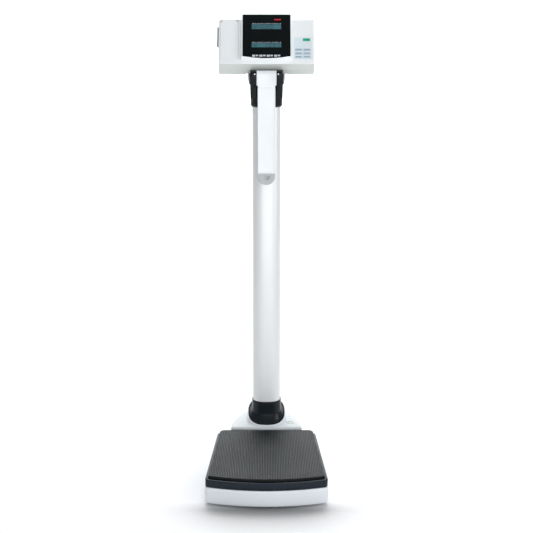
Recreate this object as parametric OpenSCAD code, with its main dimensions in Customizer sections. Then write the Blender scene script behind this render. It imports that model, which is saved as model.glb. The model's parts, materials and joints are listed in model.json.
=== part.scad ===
// Electronic column scale with a height-measuring mast, a folding head paddle
// and a console with two displays, keys and a receipt printer.
// Millimetres. +Z up, the front faces -Y, the origin is on the floor under the
// middle of the bounding box.

/* [Platform] */
// Widest width of the base casing, at its front
plat_w = 354; // [320:1:400]
// Width that the casing loses on each side towards the back
plat_taper = 20; // [10:1:30]
// Front face of the base casing, in front of the origin
plat_front = 280; // [260:1:300]
// Back edge of the platform, behind the origin
plat_back = 95; // [85:1:100]
// Front corner radius of the casing in plan
nose_r = 13; // [13:1:24]
// Back corner radius of the casing in plan
heel_r = 26; // [20:1:34]
// Radius of the bowed front edge
bow_r = 600; // [500:10:800]
// Gap between the casing and the floor
floor_gap = 6; // [5:0.5:8]
// Height of the top of the base casing
casing_top = 55; // [52:1:57]
// Height of the top of the tread mat
mat_top = 88; // [86:1:90]

/* [Rear base] */
// Half width of the rear lobe
lobe_a = 114; // [105:1:120]
// Depth of the rear lobe behind its centre
lobe_b = 172; // [160:1:175]
// Height of the rear cover
cover_top = 92; // [91:1:96]

/* [Column] */
// Column axis, behind the origin
col_y = 167; // [160:1:172]
// Half width of the column
col_a = 43.5; // [40:0.5:46]
// Half depth of the column
col_b = 36; // [34:0.5:40]
// Wall of the column extrusion
col_wall = 2.6; // [2:0.1:3.5]
// Height of the top end of the column
col_top = 1185; // [1150:1:1195]
// Travel of the telescoping mast
mast_travel = 700; // [500:10:750]

/* [Head] */
// Lowest front edge of the console, behind the origin
face_y = 110; // [105:1:114]
// Height of that edge
face_z = 1227; // [1220:1:1235]
// Lean of the console face from the vertical
face_lean = 30; // [25:1:34]
// Half width of the console
con_a = 142; // [138:1:146]
// Length of the console face up its slope
face_l = 146; // [142:1:150]
// Height of the display pod above the console face
pod_h = 16; // [12:1:18]
// Top of the head bracket
bracket_top = 1208; // [1205:1:1212]

/* [Paddle] */
// Height of the paddle's hinge pin
hinge_z = 1196; // [1193:1:1198]
// Hinge pin, behind the origin
hinge_y = 111; // [110:0.5:112]
// Width of the paddle blade
blade_w = 52; // [48:1:54]
// Length from the hinge pin to the paddle's tip
paddle_l = 326; // [300:1:340]

/* [Hidden] */
$fn = 48;

white = [0.90, 0.92, 0.93];
black = [0.06, 0.06, 0.07];
steel = [0.62, 0.63, 0.65];
grey = [0.62, 0.64, 0.65];

// platform plan
side_x = plat_w / 2 - nose_r;
back_x = plat_w / 2 - plat_taper - heel_r;
bow_angle = asin(side_x / (bow_r - nose_r));
bow_y = bow_r - plat_front;
front_y = bow_y - (bow_r - nose_r) * cos(bow_angle);
rear_y = plat_back - heel_r;
side_run = norm([back_x - side_x, rear_y - front_y]);
side_angle = atan2(rear_y - front_y, back_x - side_x) - acos((nose_r - heel_r) / side_run);
lobe_y = 100;
casing_wall = 3;
lid_gap = 1.5;
tray_z = casing_top + lid_gap;
mat_t = 6;
mat_inset = 10;
mat_rim = 2.5;
mat_z = mat_top - mat_t;
plate_z = floor_gap + casing_wall;
plate_t = 3;
cell_z = plate_z + plate_t;
cell_h = 24;
foot_hole_r = 9;
FEET = [[-138, -222], [138, -222], [-62, 216], [62, 216]];
CELLS = [[-105, -190], [105, -190], [-95, 50], [95, 50]];

// castors
castor_r = 22;
castor_w = 14;
castor_x = 31;
castor_y = 258;
castor_z = castor_r + 1.5;
level_x = 77;
level_y = 139;
level_r = 11;
level_rim_r = 13;
vial_r = 8.9;
axle_r = 4;

// column and mast
flange_z = cell_z;
flange_t = 8;
col_z = flange_z + flange_t;
ring_z = cover_top;
ring_a = 58;
ring_b = 58.5;
ring_side_z = 120;
ring_lean = 22;
throat_t = 6;
neck_a = 48.6;
neck_b = 41;
boot_side_z = 132;
boot_lean = 17.5;
boot_top = 165;
boot_a = 48;
boot_b = 40.4;
mast_a = 24;
mast_b = 16;
mast_hold = 155;
mast_z = col_top - mast_hold - mast_travel;
mast_top = bracket_top - 8;
guide_h = 60;
encoder_r = 8;
encoder_y = col_y + mast_b + encoder_r + 0.3;
encoder_z = col_top - guide_h / 2;

// head
bracket_z = 1099;
lug_x = 29.6;
lug_w = 18;
pin_x = 34.5;
con_depth = 128;
chin_y = 34;
chin_h = 32;
shell_t = 2.5;
split_n = -21;
pod_a = 76;
pod_s0 = 5;
pod_s1 = 159;
lens_a = 70;
lens_t = 2;
flap_x0 = -137;
flap_x1 = -83;
flap_s0 = 13;
flap_s1 = face_l - 3;
flap_pin_n = -3;
key_w = 20.5;
start_s = 79;
start_x = 118;
KEY_X = [94.5, 119];
KEY_S = [46, 34, 22.5];
KEY_H = [7, 6, 6];
key_rise = 1.6;
roll_x = -110;
roll_s = 94;
roll_n = -27;
roll_r = 19;
roll_l = 57;
platen_r = 5;
platen_x = -133;
platen_n = -13;
bar_out = 4.6;
tip_l = 34;
hinge_r = 12;
pin_r = 3;
run_gap = 0.06;

// points of an arc, first point at index i0
function arc(cx, cy, r, a0, a1, n, i0 = 0) =
    [for (i = [i0:n]) [cx + r * cos(a0 + (a1 - a0) * i / n), cy + r * sin(a0 + (a1 - a0) * i / n)]];

// plan of the platform, drawn in by d all round
function plat_points(d) = concat(
    arc(0, bow_y, bow_r - d, -90 - bow_angle, -90 + bow_angle, 24),
    arc(side_x, front_y, nose_r - d, -90 + bow_angle, side_angle, 8, 1),
    arc(back_x, rear_y, heel_r - d, side_angle, 90, 8),
    arc(-back_x, rear_y, heel_r - d, 90, 180 - side_angle, 8),
    [for (p = arc(-side_x, front_y, nose_r - d, 180 - side_angle, 270 - bow_angle, 8))
        if (p[1] > front_y - (nose_r - d) * cos(bow_angle) + 0.01) p]
);

// half ellipse of the rear lobe, drawn in by d
function lobe_points(d) = [for (i = [0:40]) [(lobe_a - d) * cos(i * 4.5), lobe_y + (lobe_b - d) * sin(i * 4.5)]];

// power that keeps the sign of v
function spow(v, p) = sign(v) * pow(abs(v), p);

// oval section with flattened sides
function oval(a, b) = [for (i = [0:71]) [a * spow(cos(i * 5), 0.77), b * spow(sin(i * 5), 0.77)]];

module at_column() { translate([0, col_y, 0]) children(); }

// local frame of the console face: x across, y up the slope, z outwards
module on_face() { translate([0, face_y, face_z]) rotate([90 - face_lean, 0, 0]) children(); }

module plan_base(d) {
    polygon(plat_points(d));
    polygon(concat(lobe_points(d), [[-(lobe_a - d), 40], [lobe_a - d, 40]]));
}

module slab(points, z, h) { translate([0, 0, z]) linear_extrude(h) polygon(points); }

// ---- base ----
module base_casing() {
    color(white) difference() {
        union() {
            translate([0, 0, floor_gap]) linear_extrude(5) plan_base(2);
            translate([0, 0, floor_gap + 5]) linear_extrude(casing_top - floor_gap - 5) plan_base(0);
        }
        translate([0, 0, floor_gap + casing_wall]) linear_extrude(casing_top) difference() {
            plan_base(2 + casing_wall);
            for (s = [-1, 1]) translate([s * castor_x - castor_w / 2 - 6, castor_y - castor_r - 6])
                square([castor_w + 12, 60]);
        }
        for (s = [-1, 1]) translate([s * castor_x - castor_w / 2 - 5, castor_y, castor_z]) rotate([0, 90, 0])
            cylinder(r = axle_r, h = castor_w + 10);
        for (p = FEET) translate([p[0], p[1], 0]) cylinder(r = foot_hole_r, h = casing_top - 1);
        for (s = [-1, 1]) translate([s * castor_x - castor_w / 2 - 2, castor_y - castor_r - 3, 0])
            cube([castor_w + 4, 60, casing_top - 4]);
    }
}

module base_plate() {
    color(steel) difference() {
        translate([0, 0, plate_z]) linear_extrude(plate_t) difference() {
            plan_base(12);
            translate([-60, castor_y - castor_r - 6]) square([120, 60]);
        }
        for (p = FEET) translate([p[0], p[1], 0]) cylinder(r = 4 + run_gap, h = casing_top);
    }
}

module load_cell(i) {
    w = 26;
    l = 74;
    color([0.75, 0.76, 0.78]) translate([CELLS[i][0], CELLS[i][1], cell_z]) difference() {
        union() {
            translate([-l / 2, -w / 2, 0]) cube([l, w, cell_h]);
            cylinder(r = 9, h = tray_z + 2 - cell_z);
        }
        for (s = [-1, 1]) translate([s * 9, w, cell_h / 2]) rotate([90, 0, 0]) cylinder(r = 6.5, h = 2 * w);
    }
}
module load_cell_front_left() { load_cell(0); }
module load_cell_front_right() { load_cell(1); }
module load_cell_rear_left() { load_cell(2); }
module load_cell_rear_right() { load_cell(3); }

module junction_board() {
    color([0.10, 0.36, 0.20]) translate([-40, -95, cell_z + 4]) cube([80, 55, 1.6]);
    color(black) translate([-18, -80, cell_z + 5.6]) cube([20, 20, 3]);
    for (x = [-34, 30], y = [-90, -49]) color(steel) translate([x + 2, y + 2, cell_z]) cylinder(r = 2, h = 4);
}

// levelling foot: sole, knurled disc and threaded stem, seated in the plate
module foot(i) {
    color(black) translate([FEET[i][0], FEET[i][1], 0]) {
        cylinder(r = 19, h = 2.6);
        translate([0, 0, 2.6]) cylinder(r = 16, h = 2.6);
        cylinder(r = 4, h = 30);
    }
}
module foot_front_left() { foot(0); }
module foot_front_right() { foot(1); }
module foot_rear_left() { foot(2); }
module foot_rear_right() { foot(3); }

module castor(side) {
    color([0.15, 0.15, 0.16]) translate([side * castor_x, castor_y, castor_z]) rotate([0, 90, 0]) difference() {
        union() {
            translate([0, 0, -castor_w / 2]) cylinder(r = castor_r, h = castor_w);
            translate([0, 0, -castor_w / 2 - 1]) cylinder(r = 8, h = castor_w + 2);
        }
        translate([0, 0, -castor_w]) cylinder(r = axle_r + run_gap, h = 2 * castor_w);
    }
}
module castor_left() { castor(-1); }
module castor_right() { castor(1); }

module castor_axles() {
    color(steel) for (s = [-1, 1]) translate([s * castor_x, castor_y, castor_z]) rotate([0, 90, 0])
        translate([0, 0, -castor_w / 2 - 3.5]) cylinder(r = axle_r, h = castor_w + 7);
}

// ---- platform ----
module platform_tray() {
    color(black) difference() {
        union() {
            slab(plat_points(1.5), tray_z, 21);
            slab(plat_points(5), tray_z + 21, mat_z - tray_z - 21);
        }
        slab(plat_points(7), tray_z - 1, 4);
        for (x = [-1, 1], y = [0:2])
            translate([x > 0 ? 8 : -128, -235 + y * 104, tray_z - 1]) cube([120, 96, mat_z - tray_z - 5]);
    }
}

module tread_mat() {
    color([0.22, 0.24, 0.26]) difference() {
        slab(plat_points(mat_inset), mat_z, mat_t);
        slab(plat_points(mat_inset + mat_rim), mat_z + mat_t - 1, 2);
    }
}

// ---- rear base and column ----
module rear_plan(d) {
    intersection() {
        polygon(concat(lobe_points(d), [[-(lobe_a - d), 40], [lobe_a - d, 40]]));
        translate([-lobe_a, plat_back + 4 + d]) square([2 * lobe_a, 300]);
    }
}

// everything of the children below a plane that rises backwards, z high beside the column
module below(z, lean) {
    intersection() {
        children();
        translate([0, 0, z]) rotate([lean, 0, 0]) translate([-200, -200, -200]) cube([400, 400, 200]);
    }
}

module rear_cover() {
    color(white) difference() {
        union() {
            translate([0, 0, casing_top + 0.5]) linear_extrude(cover_top - casing_top - 4.5) rear_plan(0);
            translate([0, 0, cover_top - 4]) linear_extrude(4) rear_plan(2);
            at_column() below(ring_side_z - 0.6, ring_lean)
                slab(oval(ring_a + throat_t, ring_b + throat_t), ring_z - 1, 70);
        }
        translate([0, 0, casing_top - 1]) linear_extrude(cover_top - casing_top - 2) rear_plan(3);
        at_column() slab(oval(col_a + 1.5, col_b + 1.5), 0, 200);
        at_column() slab(oval(ring_a + 0.1, ring_b + 0.1), ring_z, 100);
        translate([level_x, level_y, cover_top - 6]) cylinder(r = level_r + 0.3, h = 10);
        for (s = [-1, 1]) translate([s * castor_x - castor_w / 2 - 2, castor_y - castor_r - 3, 0])
            cube([castor_w + 4, 8, casing_top + 0.4]);
    }
}

module level_body() {
    color([0.85, 0.86, 0.84]) translate([level_x, level_y, cover_top - 8]) difference() {
        union() {
            translate([0, 0, 2.2]) cylinder(r = level_r, h = 6.2);
            translate([0, 0, 8]) cylinder(r = level_rim_r, h = 1.6);
        }
        translate([0, 0, 3.4]) cylinder(r = vial_r + 0.1, h = 10);
    }
}

module level_vial() {
    color([0.88, 0.92, 0.86]) translate([level_x, level_y, cover_top - 4.5]) cylinder(r = vial_r, h = 5.8);
}

// leaning collar: a sleeve round the column that flares into the throat of the rear cover
module collar_ring() {
    color(black) at_column() difference() {
        union() {
            below(ring_side_z, ring_lean) slab(oval(ring_a, ring_b), ring_z, 70);
            below(boot_side_z, boot_lean) slab(oval(neck_a, neck_b), ring_z, 70);
        }
        slab(oval(col_a + 0.4, col_b + 0.4), ring_z - 1, 80);
    }
}

module column_boot() {
    color(black) at_column() difference() {
        slab(oval(boot_a, boot_b), ring_z + 8, boot_top - ring_z - 8);
        below(boot_side_z, boot_lean) slab(oval(ring_a, ring_b), ring_z, 70);
        slab(oval(col_a + 0.4, col_b + 0.4), ring_z - 1, 80);
    }
}

module column_tube() {
    color([0.80, 0.81, 0.82]) at_column() difference() {
        slab(oval(col_a, col_b), col_z, col_top - col_z);
        slab(oval(col_a - col_wall, col_b - col_wall), col_z - 1, col_top);
    }
}

module column_flange() {
    color(steel) at_column() difference() {
        translate([-62, -52, flange_z]) cube([124, 96, flange_t]);
        for (x = [-1, 1], y = [-1, 1]) translate([x * 52, y * 34 - 4, 0]) cylinder(r = 4.1, h = 100);
    }
}

module flange_bolts() {
    color(steel) at_column() for (x = [-1, 1], y = [-1, 1]) translate([x * 52, y * 34 - 4, 0]) {
        translate([0, 0, flange_z + flange_t]) cylinder(r = 6.5, h = 5, $fn = 6);
        translate([0, 0, flange_z]) cylinder(r = 4, h = flange_t + 1);
    }
}

// bush in the top of the column that guides the mast, with the encoder's pin
module column_guide() {
    gap_y = encoder_y - col_y;
    color([0.30, 0.31, 0.33]) at_column() {
        difference() {
            slab(oval(col_a - col_wall - 0.3, col_b - col_wall - 0.3), col_top - guide_h, guide_h);
            slab(oval(mast_a + 0.35, mast_b + 0.35), col_top - guide_h - 1, guide_h + 2);
            translate([-8, 8, encoder_z - 11]) cube([16, 40, 22]);
        }
        translate([-8.5, gap_y, encoder_z]) rotate([0, 90, 0]) cylinder(r = 2, h = 17);
    }
}

module encoder_wheel() {
    color([0.85, 0.85, 0.80]) translate([-4, encoder_y, encoder_z]) rotate([0, 90, 0]) difference() {
        cylinder(r = encoder_r, h = 8);
        translate([0, 0, -1]) cylinder(r = 2 + run_gap, h = 12);
    }
}

// ---- moving mast and head ----
module mast_tube() {
    color([0.72, 0.73, 0.75]) at_column() difference() {
        slab(oval(mast_a, mast_b), mast_z, mast_top - mast_z);
        slab(oval(mast_a - 2, mast_b - 2), mast_z - 1, mast_top - mast_z + 2);
    }
}

module mast_slider() {
    color([0.25, 0.26, 0.28]) at_column() difference() {
        slab(oval(col_a - col_wall - 0.5, col_b - col_wall - 0.5), mast_z - 12, 50);
        slab(oval(mast_a, mast_b), mast_z, 60);
    }
}

// tapered sleeve that caps the column, with two lugs that hold the paddle's pin
module head_bracket() {
    sleeve_h = bracket_top - bracket_z;
    foot_a = 48;
    foot_b = 40.5;
    color(black) difference() {
        union() {
            at_column() slab(oval(foot_a, foot_b), bracket_z, 22);
            at_column() slab(oval(foot_a + 2.2, foot_b + 2), bracket_z + 22, 40);
            at_column() slab(oval(foot_a + 4.6, foot_b + 4), bracket_z + 62, sleeve_h - 62);
            for (s = [-1, 1]) translate([s * (lug_x + lug_w / 2) - lug_w / 2, hinge_y, bracket_top - 40])
                cube([lug_w, 26, 40]);
            for (s = [-1, 1]) translate([s * (lug_x + lug_w / 2) - lug_w / 2, hinge_y, hinge_z])
                rotate([0, 90, 0]) cylinder(r = hinge_r, h = lug_w);
        }
        at_column() slab(oval(col_a + 0.5, col_b + 0.5), bracket_z - 1, col_top + 1.5 - bracket_z);
        at_column() slab(oval(mast_a + 0.2, mast_b + 0.2), bracket_z, sleeve_h + 2);
        translate([-lug_x, hinge_y - 20, bracket_top - 34]) cube([2 * lug_x, 34, 40]);
        translate([-60, hinge_y, hinge_z]) rotate([0, 90, 0]) cylinder(r = pin_r, h = 120);
        for (s = [-1, 1]) translate([s * pin_x, hinge_y - hinge_r + 3.5, hinge_z + 2]) rotate([90, 0, 0])
            cylinder(r = 2.2, h = 9);
    }
}

module bracket_cheeks() {
    color(grey) at_column() for (s = [-1, 1]) translate([s * 56.2 - 2.7, -24, bracket_top - 43]) cube([5.4, 48, 44]);
}

module bracket_pins() {
    color(steel) for (s = [-1, 1]) translate([s * pin_x, hinge_y - hinge_r + 3.5, hinge_z + 2]) rotate([90, 0, 0])
        cylinder(r = 2.2, h = 4);
}

module head_carrier() {
    color(steel) at_column() difference() {
        union() {
            slab(oval(mast_a - 2.3, mast_b - 2.3), mast_top - 60, 60);
            translate([-20, -10, mast_top]) cube([40, 20, 74]);
            translate([-60, -12, bracket_top + 1]) cube([120, 24, 6]);
        }
        translate([0, 0, mast_top - 61]) cylinder(r = 8, h = 120);
    }
}

// side profile of the console: depth behind the face's lowest edge, and height
function con_profile(d) = [
    [d * 1.2, 0],
    [face_l * sin(face_lean) + d * 0.55, face_l * cos(face_lean) - d],
    [con_depth - 12, face_l * cos(face_lean) - d],
    [con_depth - d, face_l * cos(face_lean) - 14],
    [con_depth - d, 8],
    [con_depth - 22, -chin_h + d],
    [chin_y + d * 0.7, -chin_h + d]
];

module con_block(d) {
    translate([-(con_a - d), face_y, face_z]) rotate([90, 0, 90]) linear_extrude(2 * (con_a - d))
        polygon(con_profile(d));
}

// everything the console leaves out: the bracket's top and the mast
module con_cuts() {
    at_column() slab(oval(54, 46), 1100, bracket_top + 0.8 - 1100);
    translate([-lug_x - lug_w - 1, hinge_y - 14, 1100]) cube([2 * (lug_x + lug_w + 1), 50, bracket_top + 0.8 - 1100]);
    at_column() translate([-61, -26, 1100]) cube([122, 52, bracket_top + 1.8 - 1100]);
    at_column() translate([-61, -13, 1100]) cube([122, 26, bracket_top + 8 - 1100]);
}

module con_shell() {
    difference() {
        con_block(0);
        con_block(shell_t);
        con_cuts();
    }
}

module console_front() {
    color(white) difference() {
        intersection() {
            con_shell();
            on_face() translate([-200, -100, split_n]) cube([400, 300, 60]);
        }
        on_face() translate([-lens_a + 6, 14, -10]) cube([2 * lens_a - 12, 122, 20]);
        on_face() translate([flap_x0, flap_s0, -6]) cube([flap_x1 - flap_x0, 200, 30]);
        on_face() translate([-con_a - 5, roll_s - 31.1, -18.1]) cube([8.2, 62.2, 11.2]);
        on_face() translate([flap_x0 - 3, flap_s1 - 2, flap_pin_n]) rotate([0, 90, 0])
            cylinder(r = 1.5, h = flap_x1 - flap_x0 + 6);
        on_face() for (r = [0:2], c = [0:1])
            translate([KEY_X[c] - key_w / 2 - 0.4, KEY_S[r] - KEY_H[r] / 2 - 0.4, -8])
                cube([key_w + 0.8, KEY_H[r] + 0.8, 16]);
        on_face() translate([start_x - key_w / 2 - 0.4, start_s - 4.4, -8]) cube([key_w + 0.8, 8.8, 16]);
    }
}

module console_back() {
    color(white) difference() {
        intersection() {
            con_shell();
            on_face() translate([-200, -200, split_n - 200.3]) cube([400, 500, 200]);
        }
        translate([70, face_y + con_depth + 5, face_z + 40]) rotate([90, 0, 0]) cylinder(r = 6.2, h = 20);
        console_screw_places() cylinder(r = 3.3, h = 12, center = true);
    }
}

module pod_plan(d) {
    x = pod_a - d;
    bow = 7;
    polygon(concat([[x, pod_s1 - d], [-x, pod_s1 - d]],
        [for (i = [0:16]) [-x + 2 * x * i / 16, pod_s0 + d + bow * pow(2 * i / 16 - 1, 2)]]));
}

module display_pod() {
    color(white) on_face() difference() {
        union() {
            translate([0, 0, 0.2]) linear_extrude(pod_h - 6) pod_plan(0);
            translate([0, 0, pod_h - 6]) linear_extrude(4) pod_plan(1.5);
            translate([0, 0, pod_h - 2.5]) linear_extrude(2.5) pod_plan(3);
        }
        translate([0, 0, pod_h - lens_t - 0.2]) linear_extrude(10) pod_plan(5.6);
        translate([-lens_a + 8, 18, -1]) cube([2 * lens_a - 16, 122, 30]);
    }
}

module display_lens() {
    color(black) on_face() translate([0, 0, pod_h - lens_t]) linear_extrude(lens_t) pod_plan(5.9);
}

module lcd(s0, s1) {
    color([0.35, 0.62, 0.66]) on_face() translate([-46, s0 - 4, pod_h - lens_t - 6]) cube([92, s1 - s0 + 8, 5.6]);
}
module lcd_upper() { lcd(105, 122); }
module lcd_lower() { lcd(44, 60); }

module display_board() {
    color([0.10, 0.36, 0.20]) on_face() translate([-58, 24, pod_h - lens_t - 9]) cube([116, 110, 1.6]);
}

module keypad_mat() {
    color(grey) on_face() translate([82, 16, -5.8]) cube([49, 70, 1.2]);
}

module key(x, s, h) {
    on_face() {
        translate([x - key_w / 2, s - h / 2, -2.6]) cube([key_w, h, 2.6 + key_rise]);
        translate([x - key_w / 2 + 3, s - 1.5, -3.4]) cube([key_w - 6, 3, 1]);
    }
}
module key_start() { color([0.05, 0.60, 0.45]) key(start_x, start_s, 8); }
module key_1() { color([0.62, 0.70, 0.76]) key(KEY_X[0], KEY_S[0], KEY_H[0]); }
module key_2() { color([0.62, 0.70, 0.76]) key(KEY_X[1], KEY_S[0], KEY_H[0]); }
module key_3() { color([0.62, 0.70, 0.76]) key(KEY_X[0], KEY_S[1], KEY_H[1]); }
module key_4() { color([0.62, 0.70, 0.76]) key(KEY_X[1], KEY_S[1], KEY_H[1]); }
module key_5() { color([0.62, 0.70, 0.76]) key(KEY_X[0], KEY_S[2], KEY_H[2]); }
module key_6() { color([0.62, 0.70, 0.76]) key(KEY_X[1], KEY_S[2], KEY_H[2]); }

module printer_cover() {
    gap = 0.4;
    color(white) on_face() difference() {
        union() {
            translate([flap_x0 + gap, flap_s0 + gap, -shell_t]) cube([flap_x1 - flap_x0 - 2 * gap, flap_s1 - flap_s0 - 6, shell_t]);
            translate([flap_x0 + gap + 6, flap_s1 - 2, flap_pin_n]) rotate([0, 90, 0])
                cylinder(r = 3, h = flap_x1 - flap_x0 - 2 * gap - 12);
            translate([flap_x0 + gap + 6, flap_s1 - 10, -shell_t]) cube([flap_x1 - flap_x0 - 2 * gap - 12, 8, shell_t]);
        }
        translate([flap_x0 - 1, flap_s1 - 2, flap_pin_n]) rotate([0, 90, 0]) cylinder(r = 1.5 + run_gap, h = 80);
    }
}

module printer_hinge_pin() {
    color(steel) on_face() translate([flap_x0 - 1.5, flap_s1 - 2, flap_pin_n]) rotate([0, 90, 0])
        cylinder(r = 1.5, h = flap_x1 - flap_x0 + 3);
}

// trough that holds the paper roll, with ears for the platen and the roll
module printer_body() {
    color([0.20, 0.21, 0.22]) on_face() difference() {
        translate([flap_x0 + 1, roll_s - 34, roll_n - 24]) cube([flap_x1 - flap_x0 - 2, 68, 44]);
        translate([flap_x0 - 1, roll_s - 30, roll_n - 21]) cube([flap_x1 - flap_x0 - 4, 60, 60]);
        translate([roll_x, roll_s - 40, roll_n]) rotate([-90, 0, 0]) cylinder(r = 5 + run_gap, h = 80);
        translate([platen_x, roll_s - 40, platen_n]) rotate([-90, 0, 0]) cylinder(r = 2 + run_gap, h = 80);
    }
}

module platen_roller() {
    color(black) on_face() translate([platen_x, roll_s, platen_n]) rotate([-90, 0, 0]) {
        translate([0, 0, -29]) cylinder(r = platen_r, h = 58);
        translate([0, 0, -33]) cylinder(r = 2, h = 66);
    }
}

module paper_roll() {
    color([0.95, 0.95, 0.93]) on_face() translate([roll_x, roll_s, roll_n]) rotate([-90, 0, 0]) {
        translate([0, 0, -roll_l / 2]) cylinder(r = roll_r, h = roll_l);
        translate([0, 0, -33]) cylinder(r = 5, h = 66);
    }
}

module tear_bar() {
    color([0.45, 0.52, 0.50]) on_face() difference() {
        translate([-con_a - bar_out, roll_s - 31, -18]) cube([bar_out + 3.1, 62, 11]);
        translate([-con_a - bar_out - 5, roll_s - 29, -13.5]) cube([bar_out + 20, 58, 1.6]);
    }
}

module console_screw_places() {
    for (x = [-1, 1], z = [18, 100])
        translate([x * 120, face_y + con_depth, face_z + z]) rotate([90, 0, 0]) children();
}

module console_screws() { color(steel) console_screw_places() cylinder(r = 3.2, h = 2.2); }

module power_inlet() {
    color(black) translate([70, face_y + con_depth + 0.3, face_z + 40]) rotate([90, 0, 0]) difference() {
        cylinder(r = 6, h = 14);
        translate([0, 0, -1]) cylinder(r = 2.8, h = 12);
        translate([0, 0, -1]) cylinder(r = 4, h = 3);
    }
}

// ---- paddle ----
module paddle_pin() {
    color(steel) translate([-lug_x - lug_w, hinge_y, hinge_z]) rotate([0, 90, 0])
        cylinder(r = pin_r, h = 2 * (lug_x + lug_w));
}

module paddle_arm() {
    blade_z = hinge_z - paddle_l + tip_l;
    face_top = hinge_z - 45;
    color(white) difference() {
        union() {
            translate([-lug_x + 0.4, hinge_y, hinge_z]) rotate([0, 90, 0]) cylinder(r = hinge_r, h = 2 * lug_x - 0.8);
            translate([-lug_x + 0.4, hinge_y - hinge_r, hinge_z - 31]) cube([2 * lug_x - 0.8, 17, 31]);
            translate([-blade_w / 2, hinge_y - 8, face_top - 2]) cube([blade_w, 14, 18]);
            translate([-blade_w / 2, hinge_y - 8, blade_z]) cube([blade_w, 14, face_top - blade_z]);
        }
        translate([-blade_w / 2 + 2.2, hinge_y - 9, blade_z - 1]) cube([blade_w - 4.4, 2.4, face_top - blade_z - 6]);
        translate([-blade_w / 2 + 3, hinge_y, blade_z - 1]) cube([blade_w - 6, 8, face_top - blade_z - 8]);
        translate([-lug_x - 1, hinge_y, hinge_z]) rotate([0, 90, 0]) cylinder(r = pin_r + run_gap, h = 80);
    }
}

module paddle_tip() {
    top_z = hinge_z - paddle_l + tip_l - 0.1;
    round_z = hinge_z - paddle_l + blade_w / 2;
    color([0.55, 0.57, 0.58]) difference() {
        union() {
            translate([-blade_w / 2, hinge_y - 8, round_z]) cube([blade_w, 14, top_z - round_z]);
            translate([0, hinge_y + 6, round_z]) rotate([90, 0, 0]) cylinder(r = blade_w / 2, h = 14, $fn = 96);
        }
        translate([-blade_w, hinge_y - 9, top_z]) cube([2 * blade_w, 16, blade_w]);
        translate([0, hinge_y - 12, round_z - 6]) sphere(r = 10);
    }
}

base_casing();
base_plate();
load_cell_front_left();
load_cell_front_right();
load_cell_rear_left();
load_cell_rear_right();
junction_board();
foot_front_left();
foot_front_right();
foot_rear_left();
foot_rear_right();
castor_left();
castor_right();
castor_axles();
platform_tray();
tread_mat();
rear_cover();
level_body();
level_vial();
collar_ring();
column_boot();
column_tube();
column_flange();
flange_bolts();
column_guide();
encoder_wheel();
mast_tube();
mast_slider();
head_bracket();
bracket_cheeks();
bracket_pins();
head_carrier();
console_front();
console_back();
display_pod();
display_lens();
lcd_upper();
lcd_lower();
display_board();
keypad_mat();
key_start();
key_1();
key_2();
key_3();
key_4();
key_5();
key_6();
printer_cover();
printer_hinge_pin();
printer_body();
platen_roller();
paper_roll();
tear_bar();
console_screws();
power_inlet();
paddle_pin();
paddle_arm();
paddle_tip();
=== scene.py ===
import json
import math

import bmesh
import bpy
from mathutils import Matrix, Vector


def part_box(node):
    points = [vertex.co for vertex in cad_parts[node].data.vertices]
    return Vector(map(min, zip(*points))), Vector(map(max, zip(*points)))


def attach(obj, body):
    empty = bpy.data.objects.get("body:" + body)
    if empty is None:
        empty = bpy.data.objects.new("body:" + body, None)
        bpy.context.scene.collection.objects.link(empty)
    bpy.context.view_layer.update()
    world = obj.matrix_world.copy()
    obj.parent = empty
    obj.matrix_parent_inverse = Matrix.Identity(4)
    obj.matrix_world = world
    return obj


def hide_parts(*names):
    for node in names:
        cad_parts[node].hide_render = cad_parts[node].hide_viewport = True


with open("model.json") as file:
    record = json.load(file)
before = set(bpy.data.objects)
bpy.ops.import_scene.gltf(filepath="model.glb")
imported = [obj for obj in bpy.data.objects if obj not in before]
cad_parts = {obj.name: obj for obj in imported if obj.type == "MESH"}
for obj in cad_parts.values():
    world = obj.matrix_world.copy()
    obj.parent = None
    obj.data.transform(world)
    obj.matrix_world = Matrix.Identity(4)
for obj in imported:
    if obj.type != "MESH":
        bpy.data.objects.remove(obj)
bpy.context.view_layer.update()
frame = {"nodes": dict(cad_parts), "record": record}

MM = 0.001
OVAL_STEPS = 96
scene = bpy.context.scene


def span(node):
    """Lowest and highest corner of a CAD node, in millimetres."""
    lo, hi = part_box(node)
    return [v / MM for v in lo], [v / MM for v in hi]


# ---------------------------------------------------------------- camera, floor and light
CAMERA_PLACE = (0.0, -2.878, 1.341)
CAMERA_TILT = 13.64
CAMERA_LENS = 67.54


def make_camera():
    data = bpy.data.cameras.new("camera")
    data.lens = CAMERA_LENS
    data.sensor_width = 36.0
    data.clip_end = 60.0
    camera = bpy.data.objects.new("camera", data)
    camera.location = CAMERA_PLACE
    camera.rotation_euler = (math.radians(90 - CAMERA_TILT), 0, 0)
    scene.collection.objects.link(camera)
    scene.camera = camera


def area_light(name, place, target, size, power, colour=(1, 1, 1)):
    data = bpy.data.lights.new(name, "AREA")
    data.shape = "RECTANGLE"
    data.size, data.size_y = size
    data.energy = power
    data.color = colour
    lamp = bpy.data.objects.new(name, data)
    lamp.location = place
    aim = Vector(target) - Vector(place)
    lamp.rotation_euler = aim.to_track_quat("-Z", "Y").to_euler()
    scene.collection.objects.link(lamp)


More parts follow.
